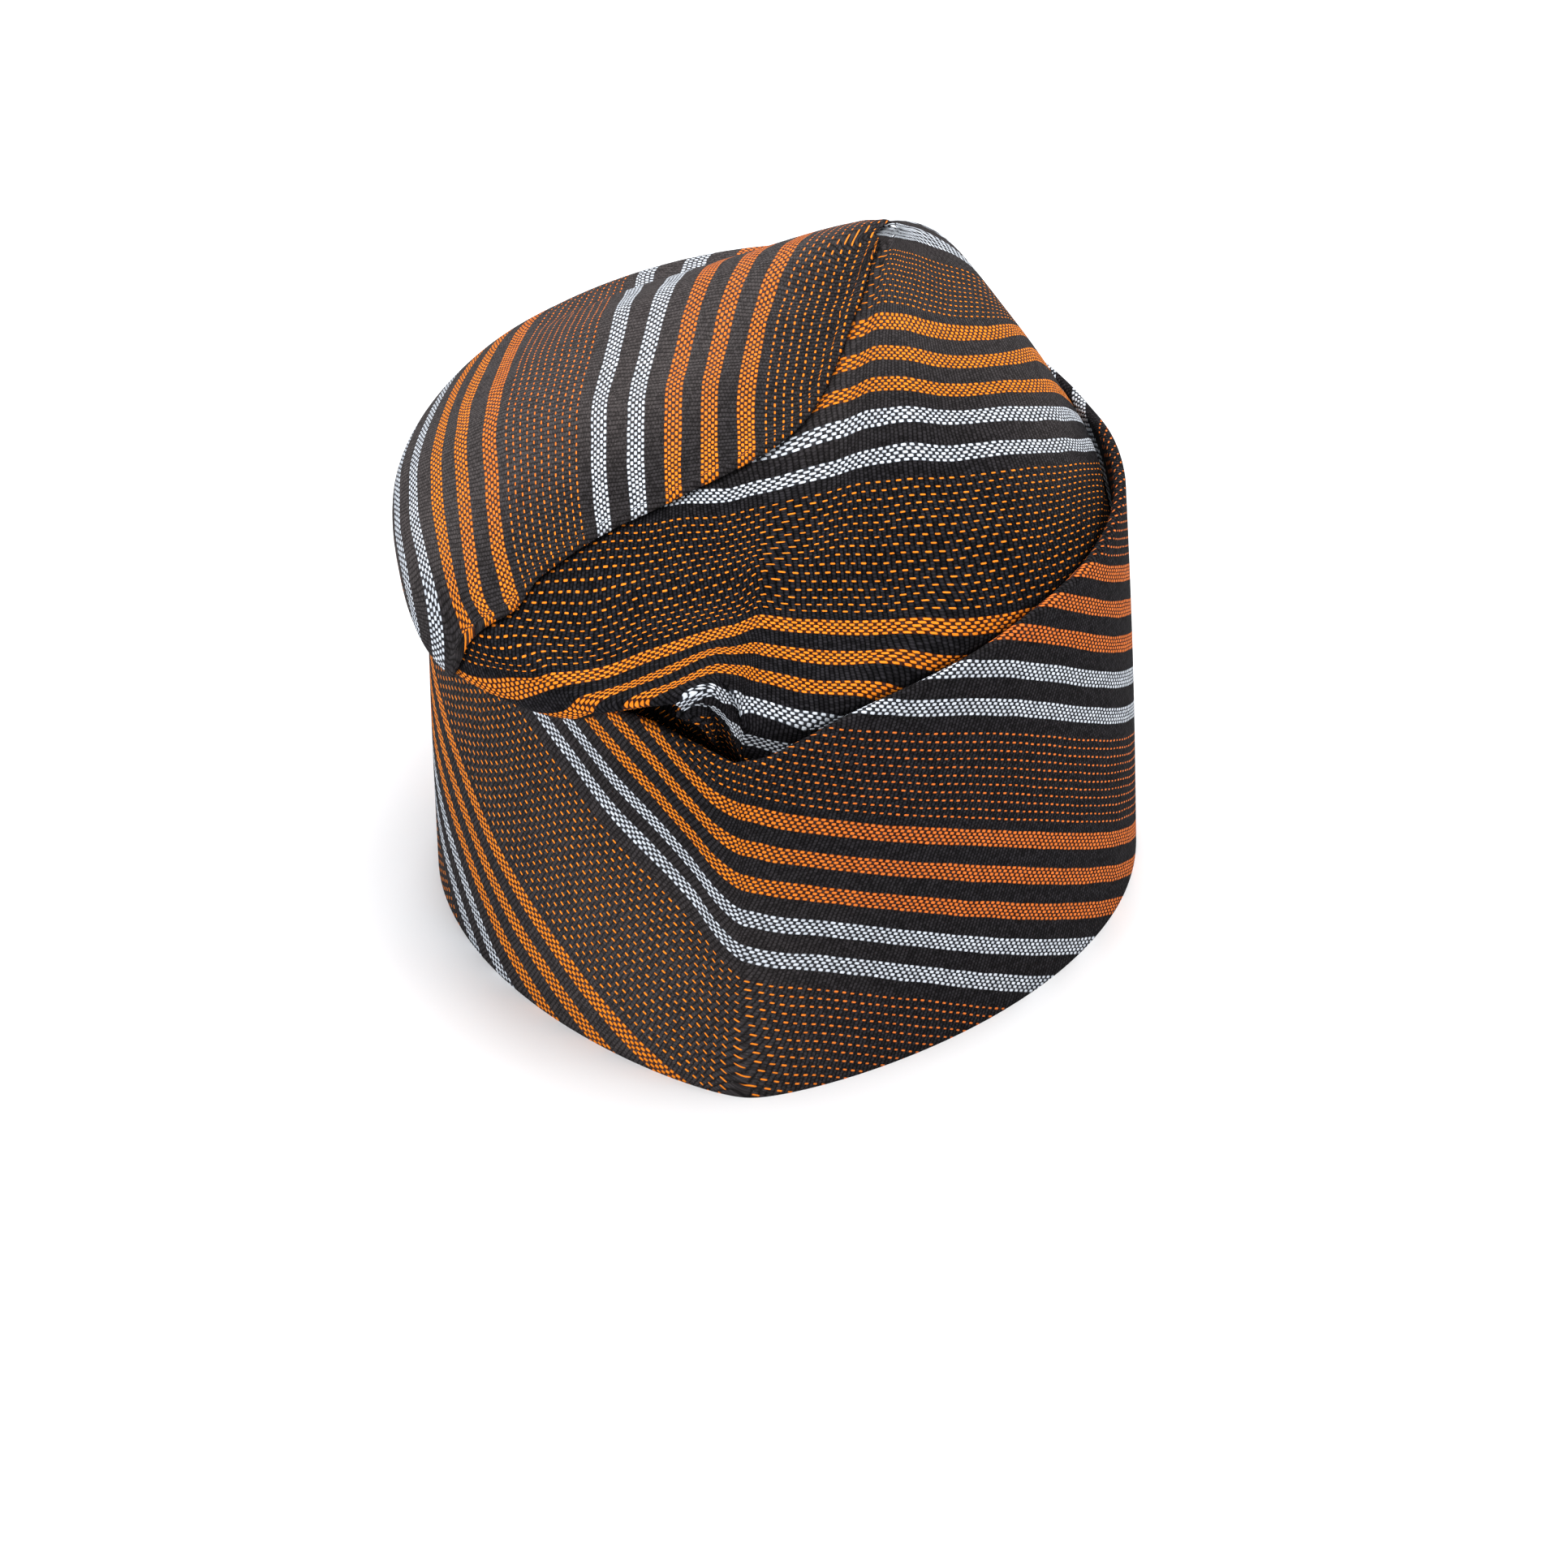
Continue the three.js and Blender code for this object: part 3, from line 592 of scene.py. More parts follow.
def shell(name, outer, inner, chart, closed, painted_light_and_nap, pole=None):
    """A closed wall of cloth from its outer and inner grids. Rows climb and columns go round; a closed grid
    joins its last column to its first, and the chart then has one column more, so that the seam has a place
    of its own on it. A pole closes the top, and without one the last row is joined as the first is."""
    rows, columns = outer.shape[:2]
    points = np.concatenate([outer.reshape(-1, 3), inner.reshape(-1, 3)])
    spots = chart.reshape(-1, 2)
    wide = chart.shape[1]
    count = rows * columns
    last = columns if closed else columns - 1
    r, c = np.meshgrid(np.arange(rows - 1), np.arange(last), indexing="ij")
    n = (c + 1) % columns

    def cells(width, right):
        low, high = r * width, (r + 1) * width
        return np.stack([low + c, low + right, high + right, high + c], -1).reshape(-1, 4)

    faces, marks = cells(columns, n), cells(wide, c + 1)
    quads, corners = [faces, faces[:, ::-1] + count], [marks, marks[:, ::-1]]

    def join(ring, mark):
        here, there = ring[:-1], ring[1:]
        quads.append(np.stack([there, here, here + count, there + count], -1))
        corners.append(np.stack([mark[1:], mark[:-1], mark[:-1], mark[1:]], -1))

    side = np.arange(last + 1)
    join(side % columns, side)
    top = (rows - 1) * columns
    if pole is None:
        join((top + side % columns)[::-1], ((rows - 1) * wide + side)[::-1])
    if not closed:
        climb = np.arange(rows)
        join((climb * columns)[::-1], (climb * wide)[::-1])
        join(climb * columns + columns - 1, climb * wide + wide - 1)
    triangles = np.zeros((0, 3), int)
    spots_triangles = np.zeros((0, 3), int)
    if pole is not None:
        points = np.concatenate([points, pole[0]])
        spots = np.concatenate([spots, pole[1]])
        here, there = top + side[:-1], top + side[1:] % columns
        tip = np.full_like(here, 2 * count)
        mark = np.full_like(here, len(spots) - 1)
        row = (rows - 1) * wide
        left, right = row + side[:-1], row + side[1:]
        triangles = [np.stack([here, there, tip], -1), np.stack([there + count, here + count, tip + 1], -1)]
        spots_triangles = [np.stack([left, right, mark], -1), np.stack([right, left, mark], -1)]
        triangles, spots_triangles = np.concatenate(triangles), np.concatenate(spots_triangles)
    quads, corners = np.concatenate(quads), np.concatenate(corners)
    every = np.concatenate([corners.ravel(), spots_triangles.ravel()])
    made = put_mesh(name, points, quads, triangles, spots, every)
    tips = len(points) - 2 * count
    both = [np.concatenate([part.ravel(), part.ravel(), np.full(tips, part[-1, 0])]) for part in painted_light_and_nap]
    put_painted_light_and_nap(made, both)
    return made


def closed_chart(across, along):
    """The chart of a closed grid, with its first column again at the end."""
    chart = np.stack([across, along], -1)
    return np.concatenate([chart, chart[:, :1]], axis=1)


# The band's grid, and its waves, its front crease and its greyed patch of nap with painted sheen: their heights
# or depths, the lengths that shape them and the heights or lengths over which they fade; then its nap with
# painted sheen, where its painted light fades out, which paints the orange yellower as if lit on the left and
# redder as if in shade on the right, the share of its height that the blunt rim reaches up, and how much its
# inner face counts in the chart
BAND_GRID = {"columns": 541, "face": 60, "edge": 13, "inside": 30}
BAND_WAVE = {"height": 0.5, "length": 23, "start": 1.3, "fade": (10, 40)}
BAND_CREASE = {"depth": 0.9, "at": 3, "width": 5, "fade": (4, 30)}
BAND_GREY = {"at": -22, "width": 40, "fade": (30, 85), "share": 0.5}
BAND_NAP_AND_SHEEN = {"least": 0.08, "left": 0.3, "fade": (-60, 0)}
BAND_PAINTED_LIGHT_FADE = (-16, 40)
BLUNT_SHARE = 0.5
INNER_WEIGHT = 0.1


def make_band():
    """The band: a doubled strip that leans in as it rises, with a rounded top edge and a flat rim. Its face
    has a soft crease at the front and shallow waves."""
    angles = np.linspace(-180, 180, BAND_GRID["columns"])
    face, inner = BAND_GRID["face"], BAND_GRID["inside"]
    length = round_length(angles)
    top = band_top(angles)
    radius = BAND_WALL / 2
    turns = np.radians(np.linspace(0, 180, BAND_GRID["edge"]))
    rise = np.linspace(0, 1, face)[:, None] * (top - radius)
    inside = np.linspace(1, 0, inner)[1:, None] * (top - radius)
    over = (top - radius) + radius * np.sin(turns)[1:-1, None]
    heights = np.concatenate([rise, over, rise[-1:], inside])
    edge = radius * (np.cos(turns)[1:-1, None] - 1)
    offsets = np.concatenate([np.zeros((face, 1)), edge, np.full((inner, 1), -BAND_WALL)])
    wave = BAND_WAVE["height"] * np.sin(length / BAND_WAVE["length"] + BAND_WAVE["start"])
    wave = wave * np.sin(np.pi * heights / BAND_HEIGHT) * smooth_step(np.abs(length), *BAND_WAVE["fade"])
    crease = np.exp(-(((length - BAND_CREASE["at"]) / BAND_CREASE["width"]) ** 2))
    crease = -BAND_CREASE["depth"] * crease * smooth_step(heights, *BAND_CREASE["fade"])
    blunt = RIM_BLUNT * (1 - smooth_step(heights, 0, BAND_HEIGHT * BLUNT_SHARE))
    outline = plan(np.broadcast_to(angles, heights.shape), 1.0, blunt)
    relief = plan_normal(angles)[None] * (offsets + wave + crease)[..., None]
    shape = outline * lean(heights)[..., None] + relief
    points = np.concatenate([shape, heights[..., None]], -1)
    climbed = np.cumsum(np.linalg.norm(np.diff(points, axis=0), axis=-1), axis=0)
    climbed = np.concatenate([np.zeros((1, len(angles))), climbed])
    across = across_band(np.broadcast_to(length, heights.shape), climbed)
    over_edge = face + BAND_GRID["edge"] // 2
    weight = np.where(np.arange(len(heights)) < over_edge, 1.0, INNER_WEIGHT)[:, None] + np.zeros(heights.shape)
    along = along_stripes(points, across, False, weight)
    # Painted light: the orange is painted yellower as if lit on the left of the band and redder as if in shade on
    # the right
    glow = 1 - smooth_step(length, *BAND_PAINTED_LIGHT_FADE) + np.zeros(heights.shape)
    # Nap with painted sheen: a lighter veil of loose fibre and painted sheen on the left of the band and low at
    # the front
    low = 1 - smooth_step(heights, *BAND_GREY["fade"])
    low = low * np.exp(-(((length - BAND_GREY["at"]) / BAND_GREY["width"]) ** 2))
    left = BAND_NAP_AND_SHEEN["left"] * (1 - smooth_step(length, *BAND_NAP_AND_SHEEN["fade"]))
    nap = BAND_NAP_AND_SHEEN["least"] + left + BAND_GREY["share"] * low
    return profile_loop("band_cloth", points, np.stack([across, along], -1), (glow, np.minimum(nap, 1)))


def profile_loop(name, points, chart, painted_light_and_nap):
    """A ring from a grid whose rows go up the outer face, over the edge and down the inner one. The last
    column is the first one again, and the rim joins the last row to the first."""
    rows, columns = points.shape[0], points.shape[1] - 1
    wide = columns + 1
    r, c = np.meshgrid(np.arange(rows), np.arange(columns), indexing="ij")
    up, n = (r + 1) % rows, (c + 1) % columns
    row, above = r * columns, up * columns
    faces = np.stack([row + c, row + n, above + n, above + c], -1).reshape(-1, 4)
    row, above = r * wide + c, up * wide + c
    marks = np.stack([row, row + 1, above + 1, above], -1)
    none = np.zeros((0, 3), int)
    made = put_mesh(name, points[:, :-1].reshape(-1, 3), faces, none, chart.reshape(-1, 2), marks.ravel())
    put_painted_light_and_nap(made, [part[:, :-1] for part in painted_light_and_nap])
    return made


def crown_grid(columns, stations):
    """The crown's outer face on a closed grid, and the angles of its columns."""
    angles = np.linspace(-180, 180, columns, endpoint=False)
    return angles, crown_surface(angles, stations)


def pocket_hollow(angles, stations):
    """How far the wall behind the lid is drawn in: a flat bell of the angle, steep at its right-hand edge
    where the cloth folds forward, times one of the station between the neck and the lid."""
    round_it = smooth_step(angles, *HOLLOW_STARTS) * (1 - smooth_step(angles, *HOLLOW_ENDS))
    up_it = smooth_step(stations, *HOLLOW_FOOT) * (1 - smooth_step(stations, *HOLLOW_TOP))
    return HOLLOW_DEPTH * up_it[:, None] * round_it


# The crown's grid, its columns round and its runs of stations: first, last and how many
CROWN_COLUMNS = 400
CROWN_STATIONS = ((0, 2, 5), (2, 9, 43), (9, 14.95, 74))
# How the crown's chart carries on down inside the band, as a rate and a skip: from the brow where the cloth
# hangs, and from the lip where it is tucked, which fades out over some degrees; and the skip's millimetres
HANGING = (1.45, 0)
TUCKED = (1.15, 6)
TUCKED_ENDS = (-14, -4)
BROW_ROW = 0.4
SKIP_FADE = (3, 12)
# What shows of the crown and the flap: the stations where they come out of the band, the angles of the open
# pocket with what it shows of the cloth behind it, and the degrees over which the flap covers the crown; then
# how much the hidden cloth of each counts in the chart
SHOWN_FROM = (8, 8.8)
POCKET_OPENS = (-34, -26)
POCKET_CLOSES = (20, 28)
POCKET_SHOWS = 0.7
POCKET_FOOT = 3
COVERED_FROM = (-8, -2)
CROWN_HIDDEN = 0.01
FLAP_HIDDEN = 0.02
# The crown's painted light, which paints its orange as mostly lit, and its nap with painted sheen, with the depth
# and the height from which that comes in
CROWN_PAINTED_LIGHT = 0.9
CROWN_NAP_AND_SHEEN = {"most": 0.55, "behind": (-40, 10), "above": (100, 125)}


def carried_down(points, across, row, rate, skip):
    """The chart below a row of the crown: from the row on it grows with the length down the cloth times a
    rate, and by a skip that comes in over a short length."""
    path = np.cumsum(np.linalg.norm(np.diff(points[: row + 1][::-1], axis=0), axis=-1), axis=0)[::-1]
    below = across[row] + path * rate + skip * smooth_step(path, *SKIP_FADE)
    return np.concatenate([below, across[row:]])


def make_crown():
    """The crown: one wall of cloth from its hem inside the band, over the lip and up to the peak."""
    stations = station_rows(CROWN_STATIONS)
    angles, points = crown_grid(CROWN_COLUMNS, stations)
    inwards = np.append(-plan_normal(angles), np.zeros((len(angles), 1)), axis=1)
    points = points + pocket_hollow(angles, stations)[..., None] * inwards
    inner = points - CROWN_WALL * normals(points, True)
    inner[0, :, 2] = 0
    tucked = 1 - smooth_step(angles, *TUCKED_ENDS)
    lip, brow = np.searchsorted(stations, (STATION["lip"], STATION["brow"] + BROW_ROW))

    def chart_of(steady):
        across = across_crown(points, steady)
        hanging = carried_down(points, across, brow, *HANGING)
        return hanging + (carried_down(points, across, lip, *TUCKED) - hanging) * tucked

    across = chart_of(False)
    hidden = 1 - smooth_step(stations, *SHOWN_FROM)[:, None]
    pocket = smooth_step(angles, *POCKET_OPENS) * (1 - smooth_step(angles, *POCKET_CLOSES))
    hidden = hidden * (1 - POCKET_SHOWS * pocket * (stations > POCKET_FOOT)[:, None])
    free = table(FLAP_EDGE, "station", "angle", stations)[:, None]
    under = (1 - smooth_step(angles - free, *COVERED_FROM)) * (stations > SHOWN_FROM[0])[:, None]
    weight = CROWN_HIDDEN + (1 - CROWN_HIDDEN) * (1 - hidden) * (1 - under)
    along = along_stripes(points, chart_of(True), True, weight)
    tip = np.array([[PEAK[0], PEAK[1], BAND_HEIGHT + CROWN_RISE]], float)
    spot = np.array([[across[-1].mean(), along[-1].mean()]])
    pole = (np.concatenate([tip, tip - [[0, 0, CROWN_WALL]]]), spot)
    # Painted light: the crown's orange is painted as mostly lit
    glow = np.full(across.shape, CROWN_PAINTED_LIGHT)
    # Nap with painted sheen: a lighter veil of loose fibre and painted sheen high on the back of the crown
    nap = CROWN_NAP_AND_SHEEN["most"] * smooth_step(points[..., 1], *CROWN_NAP_AND_SHEEN["behind"])
    nap = nap * smooth_step(points[..., 2], *CROWN_NAP_AND_SHEEN["above"])
    return shell("crown_cloth", points, inner, closed_chart(across, along), True, (glow, nap), pole)


# The flap's grid, and how many columns a degree of the crown's it is read from
FLAP_COLUMNS = 260
FLAP_STATIONS = ((2, 9, 43), (9, 14.8, 90))
FLAP_READ = 4
# Its rolled edge, with the radius and least share of its wall and the swell beside it; the stations where it
# comes free over the band's edge; its ripples; the station of its brim and the angles where its stripes turn
# down below that; and its painted light and nap: the painted light, which paints the orange yellower as if lit,
# by the fold and at the side, and the nap with painted sheen further in
FLAP_ROLL = {"radius": 1.6, "least": 0.02, "swell": 0.5, "at": 2.2, "width": 2}
FLAP_FREE = (8.8, 9.6)
FLAP_RIPPLE = {"height": 0.7, "from": (10.5, 11.5), "inside": (3, 14), "length": 9, "slant": 26}
FLAP_BRIM = 10.4
FLAP_TURNS = (60, 84)
FLAP_PAINTED_LIGHT = {"edge": 0.85, "width": 22, "least": 0.08, "side": 0.8, "side_from": (62, 80)}
FLAP_NAP_AND_SHEEN = {"least": 0.3, "more": 0.7, "from": (8, 40)}


def make_flap():
    """The flap: one wall of cloth on the crown from its rolled fold to the seam at the back."""
    stations = station_rows(FLAP_STATIONS)
    free = table(FLAP_EDGE, "station", "angle", stations)
    share = np.linspace(0, 1, FLAP_COLUMNS)
    columns = 360 * FLAP_READ
    _, points = crown_grid(columns, stations)
    where = free[:, None] + (FLAP_BACK_SEAM - free)[:, None] * share
    column = np.mod(where + 180, 360) * FLAP_READ
    low = np.floor(column).astype(int) % columns
    part = (column - np.floor(column))[..., None]
    rows = np.arange(len(stations))[:, None]

    def pick(grid):
        return grid[rows, low] * (1 - part) + grid[rows, (low + 1) % columns] * part

    base, out = pick(points), pick(normals(points, True))
    out = out / np.linalg.norm(out, axis=-1, keepdims=True)
    above = smooth_step(stations, *FLAP_FREE)[:, None]
    edge = np.linalg.norm(base - base[:, :1], axis=-1)
    swell = FLAP_ROLL["swell"] * np.exp(-(((edge - FLAP_ROLL["at"]) / FLAP_ROLL["width"]) ** 2)) * above
    roll = np.sqrt(np.clip(1 - (1 - edge / FLAP_ROLL["radius"]) ** 2, FLAP_ROLL["least"], 1)) * (1 + swell)
    slack = FLAP_SLACK * (0.5 + 0.5 * above)
    under = CLOTH_GAP + slack + 0.5 * FLAP_WALL * (1 - np.minimum(roll, 1))
    wall = FLAP_WALL * roll
    ripple = FLAP_RIPPLE["height"] * smooth_step(stations, *FLAP_RIPPLE["from"])[:, None]
    ripple = ripple * smooth_step(edge, *FLAP_RIPPLE["inside"])
    swing = np.cos(base[..., 1] / FLAP_RIPPLE["length"] + base[..., 0] / FLAP_RIPPLE["slant"])
    ripple = ripple * (1 - swing) / 2
    outer = base + out * (under + wall + ripple)[..., None]
    inner = base + out * (under + ripple)[..., None]
    brim = np.searchsorted(stations, FLAP_BRIM)
    below = np.maximum(0, outer[brim, :, 2] - outer[..., 2]) * (stations < FLAP_BRIM)[:, None]
    below = below * smooth_step(-where, *FLAP_TURNS)
    across = across_flap(outer, below)
    weight = FLAP_HIDDEN + (1 - FLAP_HIDDEN) * smooth_step(stations, *SHOWN_FROM)[:, None]
    weight = weight + np.zeros(across.shape)
    along = along_stripes(outer[:, ::-1], across[:, ::-1], False, weight)
    chart = np.stack([across[:, ::-1], along], -1)
    # Painted light: the flap's orange is painted yellower as if lit by the fold and at the side
    glow = FLAP_PAINTED_LIGHT["edge"] * np.exp(-((edge / FLAP_PAINTED_LIGHT["width"]) ** 2)) + FLAP_PAINTED_LIGHT["least"]
    glow = np.maximum(glow, FLAP_PAINTED_LIGHT["side"] * smooth_step(-outer[..., 0], *FLAP_PAINTED_LIGHT["side_from"]))
    # Nap with painted sheen: a lighter veil of loose fibre and painted sheen on the flap's upward face, growing
    # away from the fold
    nap = FLAP_NAP_AND_SHEEN["least"] + FLAP_NAP_AND_SHEEN["more"] * smooth_step(edge, *FLAP_NAP_AND_SHEEN["from"])
    painted_light_and_nap = (glow[:, ::-1], nap[:, ::-1])
    return shell("flap_cloth", outer[:, ::-1], inner[:, ::-1], chart, False, painted_light_and_nap)


class Value:
    """A number that varies over a surface: a socket whose arithmetic adds Math nodes."""

    def __init__(self, shader, socket):
        self.shader, self.socket = shader, socket

    def __add__(self, other):
        return self.shader.math("ADD", self, other)

    def __sub__(self, other):
        return self.shader.math("SUBTRACT", self, other)

    def __mul__(self, other):
        return self.shader.math("MULTIPLY", self, other)

    def __truediv__(self, other):
        return self.shader.math("DIVIDE", self, other)

    def __pow__(self, other):
        return self.shader.math("POWER", self, other)

    def __mod__(self, other):
        return self.shader.math("FLOORED_MODULO", self, other)

    def __gt__(self, other):
        return self.shader.math("GREATER_THAN", self, other)

    def __lt__(self, other):
        return self.shader.math("LESS_THAN", self, other)

    def __radd__(self, other):
        return self + other

    def __rmul__(self, other):
        return self * other

    def __rsub__(self, other):
        return self.shader.math("SUBTRACT", other, self)

    def __abs__(self):
        return self.shader.math("ABSOLUTE", self)


class Shader:
    """The nodes of one material, from the empty tree to its output."""

    def __init__(self, name):
        self.material = bpy.data.materials.new(name)
        self.material.use_nodes = True
        self.tree = self.material.node_tree
        self.tree.nodes.clear()

    def node(self, kind, settings=None, **inputs):
        """A node of a type, its settings first and then the values or links of its sockets."""
        made = self.tree.nodes.new(kind)
        for name, value in (settings or {}).items():
            setattr(made, name, value)
        for name, value in inputs.items():
            key = int(name[1:]) if name[0] == "i" and name[1:].isdigit() else name.replace("_", " ")
            socket = made.inputs[key]
            source = value.socket if isinstance(value, Value) else value
            if isinstance(source, bpy.types.NodeSocket):
                self.tree.links.new(source, socket)
            else:
                socket.default_value = source
        return made

    def math(self, operation, *values):
        named = {f"i{i}": value for i, value in enumerate(values)}
        return Value(self, self.node("ShaderNodeMath", {"operation": operation}, **named).outputs[0])

    def least(self, a, b):
        return self.math("MINIMUM", a, b)

    def most(self, a, b):
        return self.math("MAXIMUM", a, b)

    def soft(self, value, start, end):
        """1 where value is over end, 0 where it is under start, and smooth between them."""
        made = self.node(
            "ShaderNodeMapRange", {"interpolation_type": "SMOOTHSTEP"},
            Value=value, From_Min=start, From_Max=end, To_Min=0.0, To_Max=1.0,
        )
        return Value(self, made.outputs["Result"])

    def mix(self, share, a, b):
        """Two colours mixed by a share."""
        made = self.node("ShaderNodeMix", {"data_type": "RGBA"}, i0=share, i6=a, i7=b)
        return made.outputs[2]

    def noise(self, vector, scale, detail=2.0):
        flat = {"noise_dimensions": "2D"}
        made = self.node("ShaderNodeTexNoise", flat, Vector=vector, Scale=scale, Detail=detail)
        return Value(self, made.outputs[0])

    def scatter(self, x, y):
        """A number from 0 to 1 for each whole pair of x and y."""
        pair = self.node("ShaderNodeCombineXYZ", X=x, Y=y)
        made = self.node("ShaderNodeTexWhiteNoise", {"noise_dimensions": "2D"}, Vector=pair.outputs[0])
        return Value(self, made.outputs["Value"])


def colour(values):
    """A colour property as a node's colour."""
    return (values[0], values[1], values[2], 1.0)


# How noise bends the weave, across and along the stripes: its scale on the map and its reach in millimetres
BEND = {"across": (9.0, 0.7), "along": (14.0, 0.8)}
# How far the part with the silver pair starts before its first middle and ends after its last, in millimetres
SILVER_REACH = (5, 4)
# A dash as shares of its place, how a dot differs from it, and how much chance adds to each
DASH = {"wide": 0.62, "tall": 0.86, "soft": (0.5, 1.2), "power": 4.0}
DOT = {"thinner": 0.16, "lower": 0.64, "strewn": 0.12}
CHANCE = {"wide": 0.08, "tall": 0.05, "seed": 3.0}
# The ground's ribs: how sharp they are, how far their beads part them, their darkest yarn, and how soon they
# are fully lit and fully raised
RIB = {"power": 1.2, "beads": 0.7, "least": 0.3, "lit": 1.2, "raised": 1.8}
# Loose fibre: its noise, what of it counts as lint, how much lint shows with and without the nap with painted
# sheen, and its least veil
FUZZ = {
    "scale": 260.0, "detail": 3.0, "lint": (0.62, 0.80), "least_lint": 0.06, "lint_by_nap_and_sheen": 0.7, "least": 0.3,
}
# How bright a dash is painted by its dome, a painted highlight in its middle and painted shade at its edges, and
# by chance; and how much of its painted shade colour shows in the gaps between
YARN = {"orange": (0.85, 0.2), "silver": (0.75, 0.25), "gap": 0.12}
# What the bump is made of, and then its strength and its depth in metres
RELIEF = {"ground": 0.45, "dash": 0.9, "fuzz": 0.18, "strength": 0.8, "depth": 0.00042}
# How rough the ground is and how much less a dash is, its mirror shine, and its sheen with how far that spreads
SHEEN = {"ground": 0.92, "less_on_dash": 0.28, "mirror": 0.02, "fibre": 0.004, "spread": 0.5}


def striped_weave(piece, colours):
    """Hand-woven cloth on the chart of its UV map. Black ground with fine ribs across the stripes; groups of
    three orange and two silver stripes, each of rows of short dashes set like bricks; and zones of dotted
    rows between the groups, narrow and wide in turn."""
    s = Shader(piece + "_weave")
    dash_step, dot_step = DASH_STEP[piece], DOT_STEP[piece]
    uv = s.node("ShaderNodeUVMap", {"uv_map": "cloth"}).outputs[0]
    parts = s.node("ShaderNodeSeparateXYZ", Vector=uv).outputs
    (scale, reach), (along_scale, along_reach) = BEND["across"], BEND["along"]
    wobble = s.noise(uv, scale) - 0.5
    u = Value(s, parts[0]) * CHART_UNIT + wobble * reach
    v = Value(s, parts[1]) * CHART_UNIT + (s.noise(uv, along_scale) - 0.5) * along_reach
    chart = (u + GROUP["before_next"]) % REPEAT - GROUP["before_next"]
    second = s.math("GREATER_THAN", chart, SECOND_GROUP - GROUP["before_next"])
    group = chart - second * SECOND_GROUP

    # Rows of dashes: five in a stripe, and a row's dash is set against the gap of the next
    silver_starts, silver_ends = GROUP["first_silver"] - SILVER_REACH[0], LAST_SILVER + SILVER_REACH[1]
    in_orange = group < silver_starts
    in_silver = (group > silver_starts) * (group < silver_ends)
    dots_start = group > GROUP["dots"]
    dot_rows = WIDE_ROWS - (WIDE_ROWS - NARROW_ROWS) * second
    in_dots = dots_start * (group < (GROUP["dots"] + DOT_ROW * dot_rows))
    orange_at = (group + GROUP["orange"] / 2) % GROUP["orange"] - GROUP["orange"] / 2
    silver_at = (group - GROUP["first_silver"] + GROUP["silver"] / 2) % GROUP["silver"] - GROUP["silver"] / 2
    stripe_at = orange_at + (silver_at - orange_at) * in_silver
    in_stripe = (in_orange + in_silver) * (abs(stripe_at) < (STRIPE_ROW * (STRIPE_ROWS / 2)))
    fine = stripe_at / STRIPE_ROW + STRIPE_ROWS / 2
    coarse = (group - GROUP["dots"]) / DOT_ROW
    row = fine + (coarse - fine) * in_dots
    number = s.math("FLOOR", row)
    period = dash_step + (dot_step - dash_step) * in_dots
    place = v / period + number * 0.5 + s.scatter(number, CHANCE["seed"]) * DOT["strewn"] * in_dots
    dash = s.math("FLOOR", place)
    odd = s.scatter(number, dash)
    fx = abs(place - dash - 0.5) * 2
    fy = abs(row - number - 0.5) * 2
    wide = DASH["wide"] - DOT["thinner"] * in_dots + odd * CHANCE["wide"]
    tall = DASH["tall"] - DOT["lower"] * in_dots + odd * CHANCE["tall"]
    away = (fx / wide) ** DASH["power"] + (fy / tall) ** DASH["power"]
    inside = 1 - s.soft(away, *DASH["soft"])
    shown = inside * s.least(in_stripe + in_dots, 1.0)
    dome = s.math("SQRT", s.most(1 - s.least(away, 1.0), 0.0)) * shown

    # The ground: ribs across the stripes, each broken into small beads
    rib_at = v / RIB_STEP
    bead_at = u / BEAD_STEP + s.math("FLOOR", rib_at) * 0.5
    rib = abs(rib_at - s.math("FLOOR", rib_at) - 0.5) * 2
    bead = abs(bead_at - s.math("FLOOR", bead_at) - 0.5) * 2
    yarn = s.scatter(s.math("FLOOR", rib_at), s.math("FLOOR", bead_at))
    beaded = (1 - rib**2.0) ** RIB["power"] * (1 - RIB["beads"] * bead**2.0)
    ground = beaded * (RIB["least"] + (1 - RIB["least"]) * yarn)
    fuzz = s.noise(uv, FUZZ["scale"], FUZZ["detail"])

    # Painted shade: the ground is painted near black in the gaps between its ribs and lighter on the raised yarn
    dark = s.mix(s.least(ground * RIB["lit"], 1.0), colour(colours.rib_gap_shade), colour(colours.ground))
    # Nap with painted sheen: loose fibre and a painted sheen, where the cloth faces the light and is seen at a
    # grazing angle, grey the black ground
    nap = Value(s, s.node("ShaderNodeAttribute", {"attribute_name": "nap"}).outputs["Fac"])
    raised = FUZZ["least"] + (1 - FUZZ["least"]) * s.least(ground * RIB["raised"], 1.0)
    nap_and_sheen_share = nap * (FUZZ["least"] + (1 - FUZZ["least"]) * fuzz) * raised
    dark = s.mix(nap_and_sheen_share, dark, colour(colours.nap_and_sheen_grey))
    strewn = s.soft(fuzz, *FUZZ["lint"]) * (FUZZ["least_lint"] + FUZZ["lint_by_nap_and_sheen"] * nap)
    dark = s.mix(strewn, dark, colour(colours.lint))
    # Painted light: the attribute mixes the orange from a redder copy painted as in shade to a yellower one
    # painted as lit
    glow = Value(s, s.node("ShaderNodeAttribute", {"attribute_name": "glow"}).outputs["Fac"])
    painted_light_hue = s.mix(glow, colour(colours.orange_shaded), colour(colours.orange))
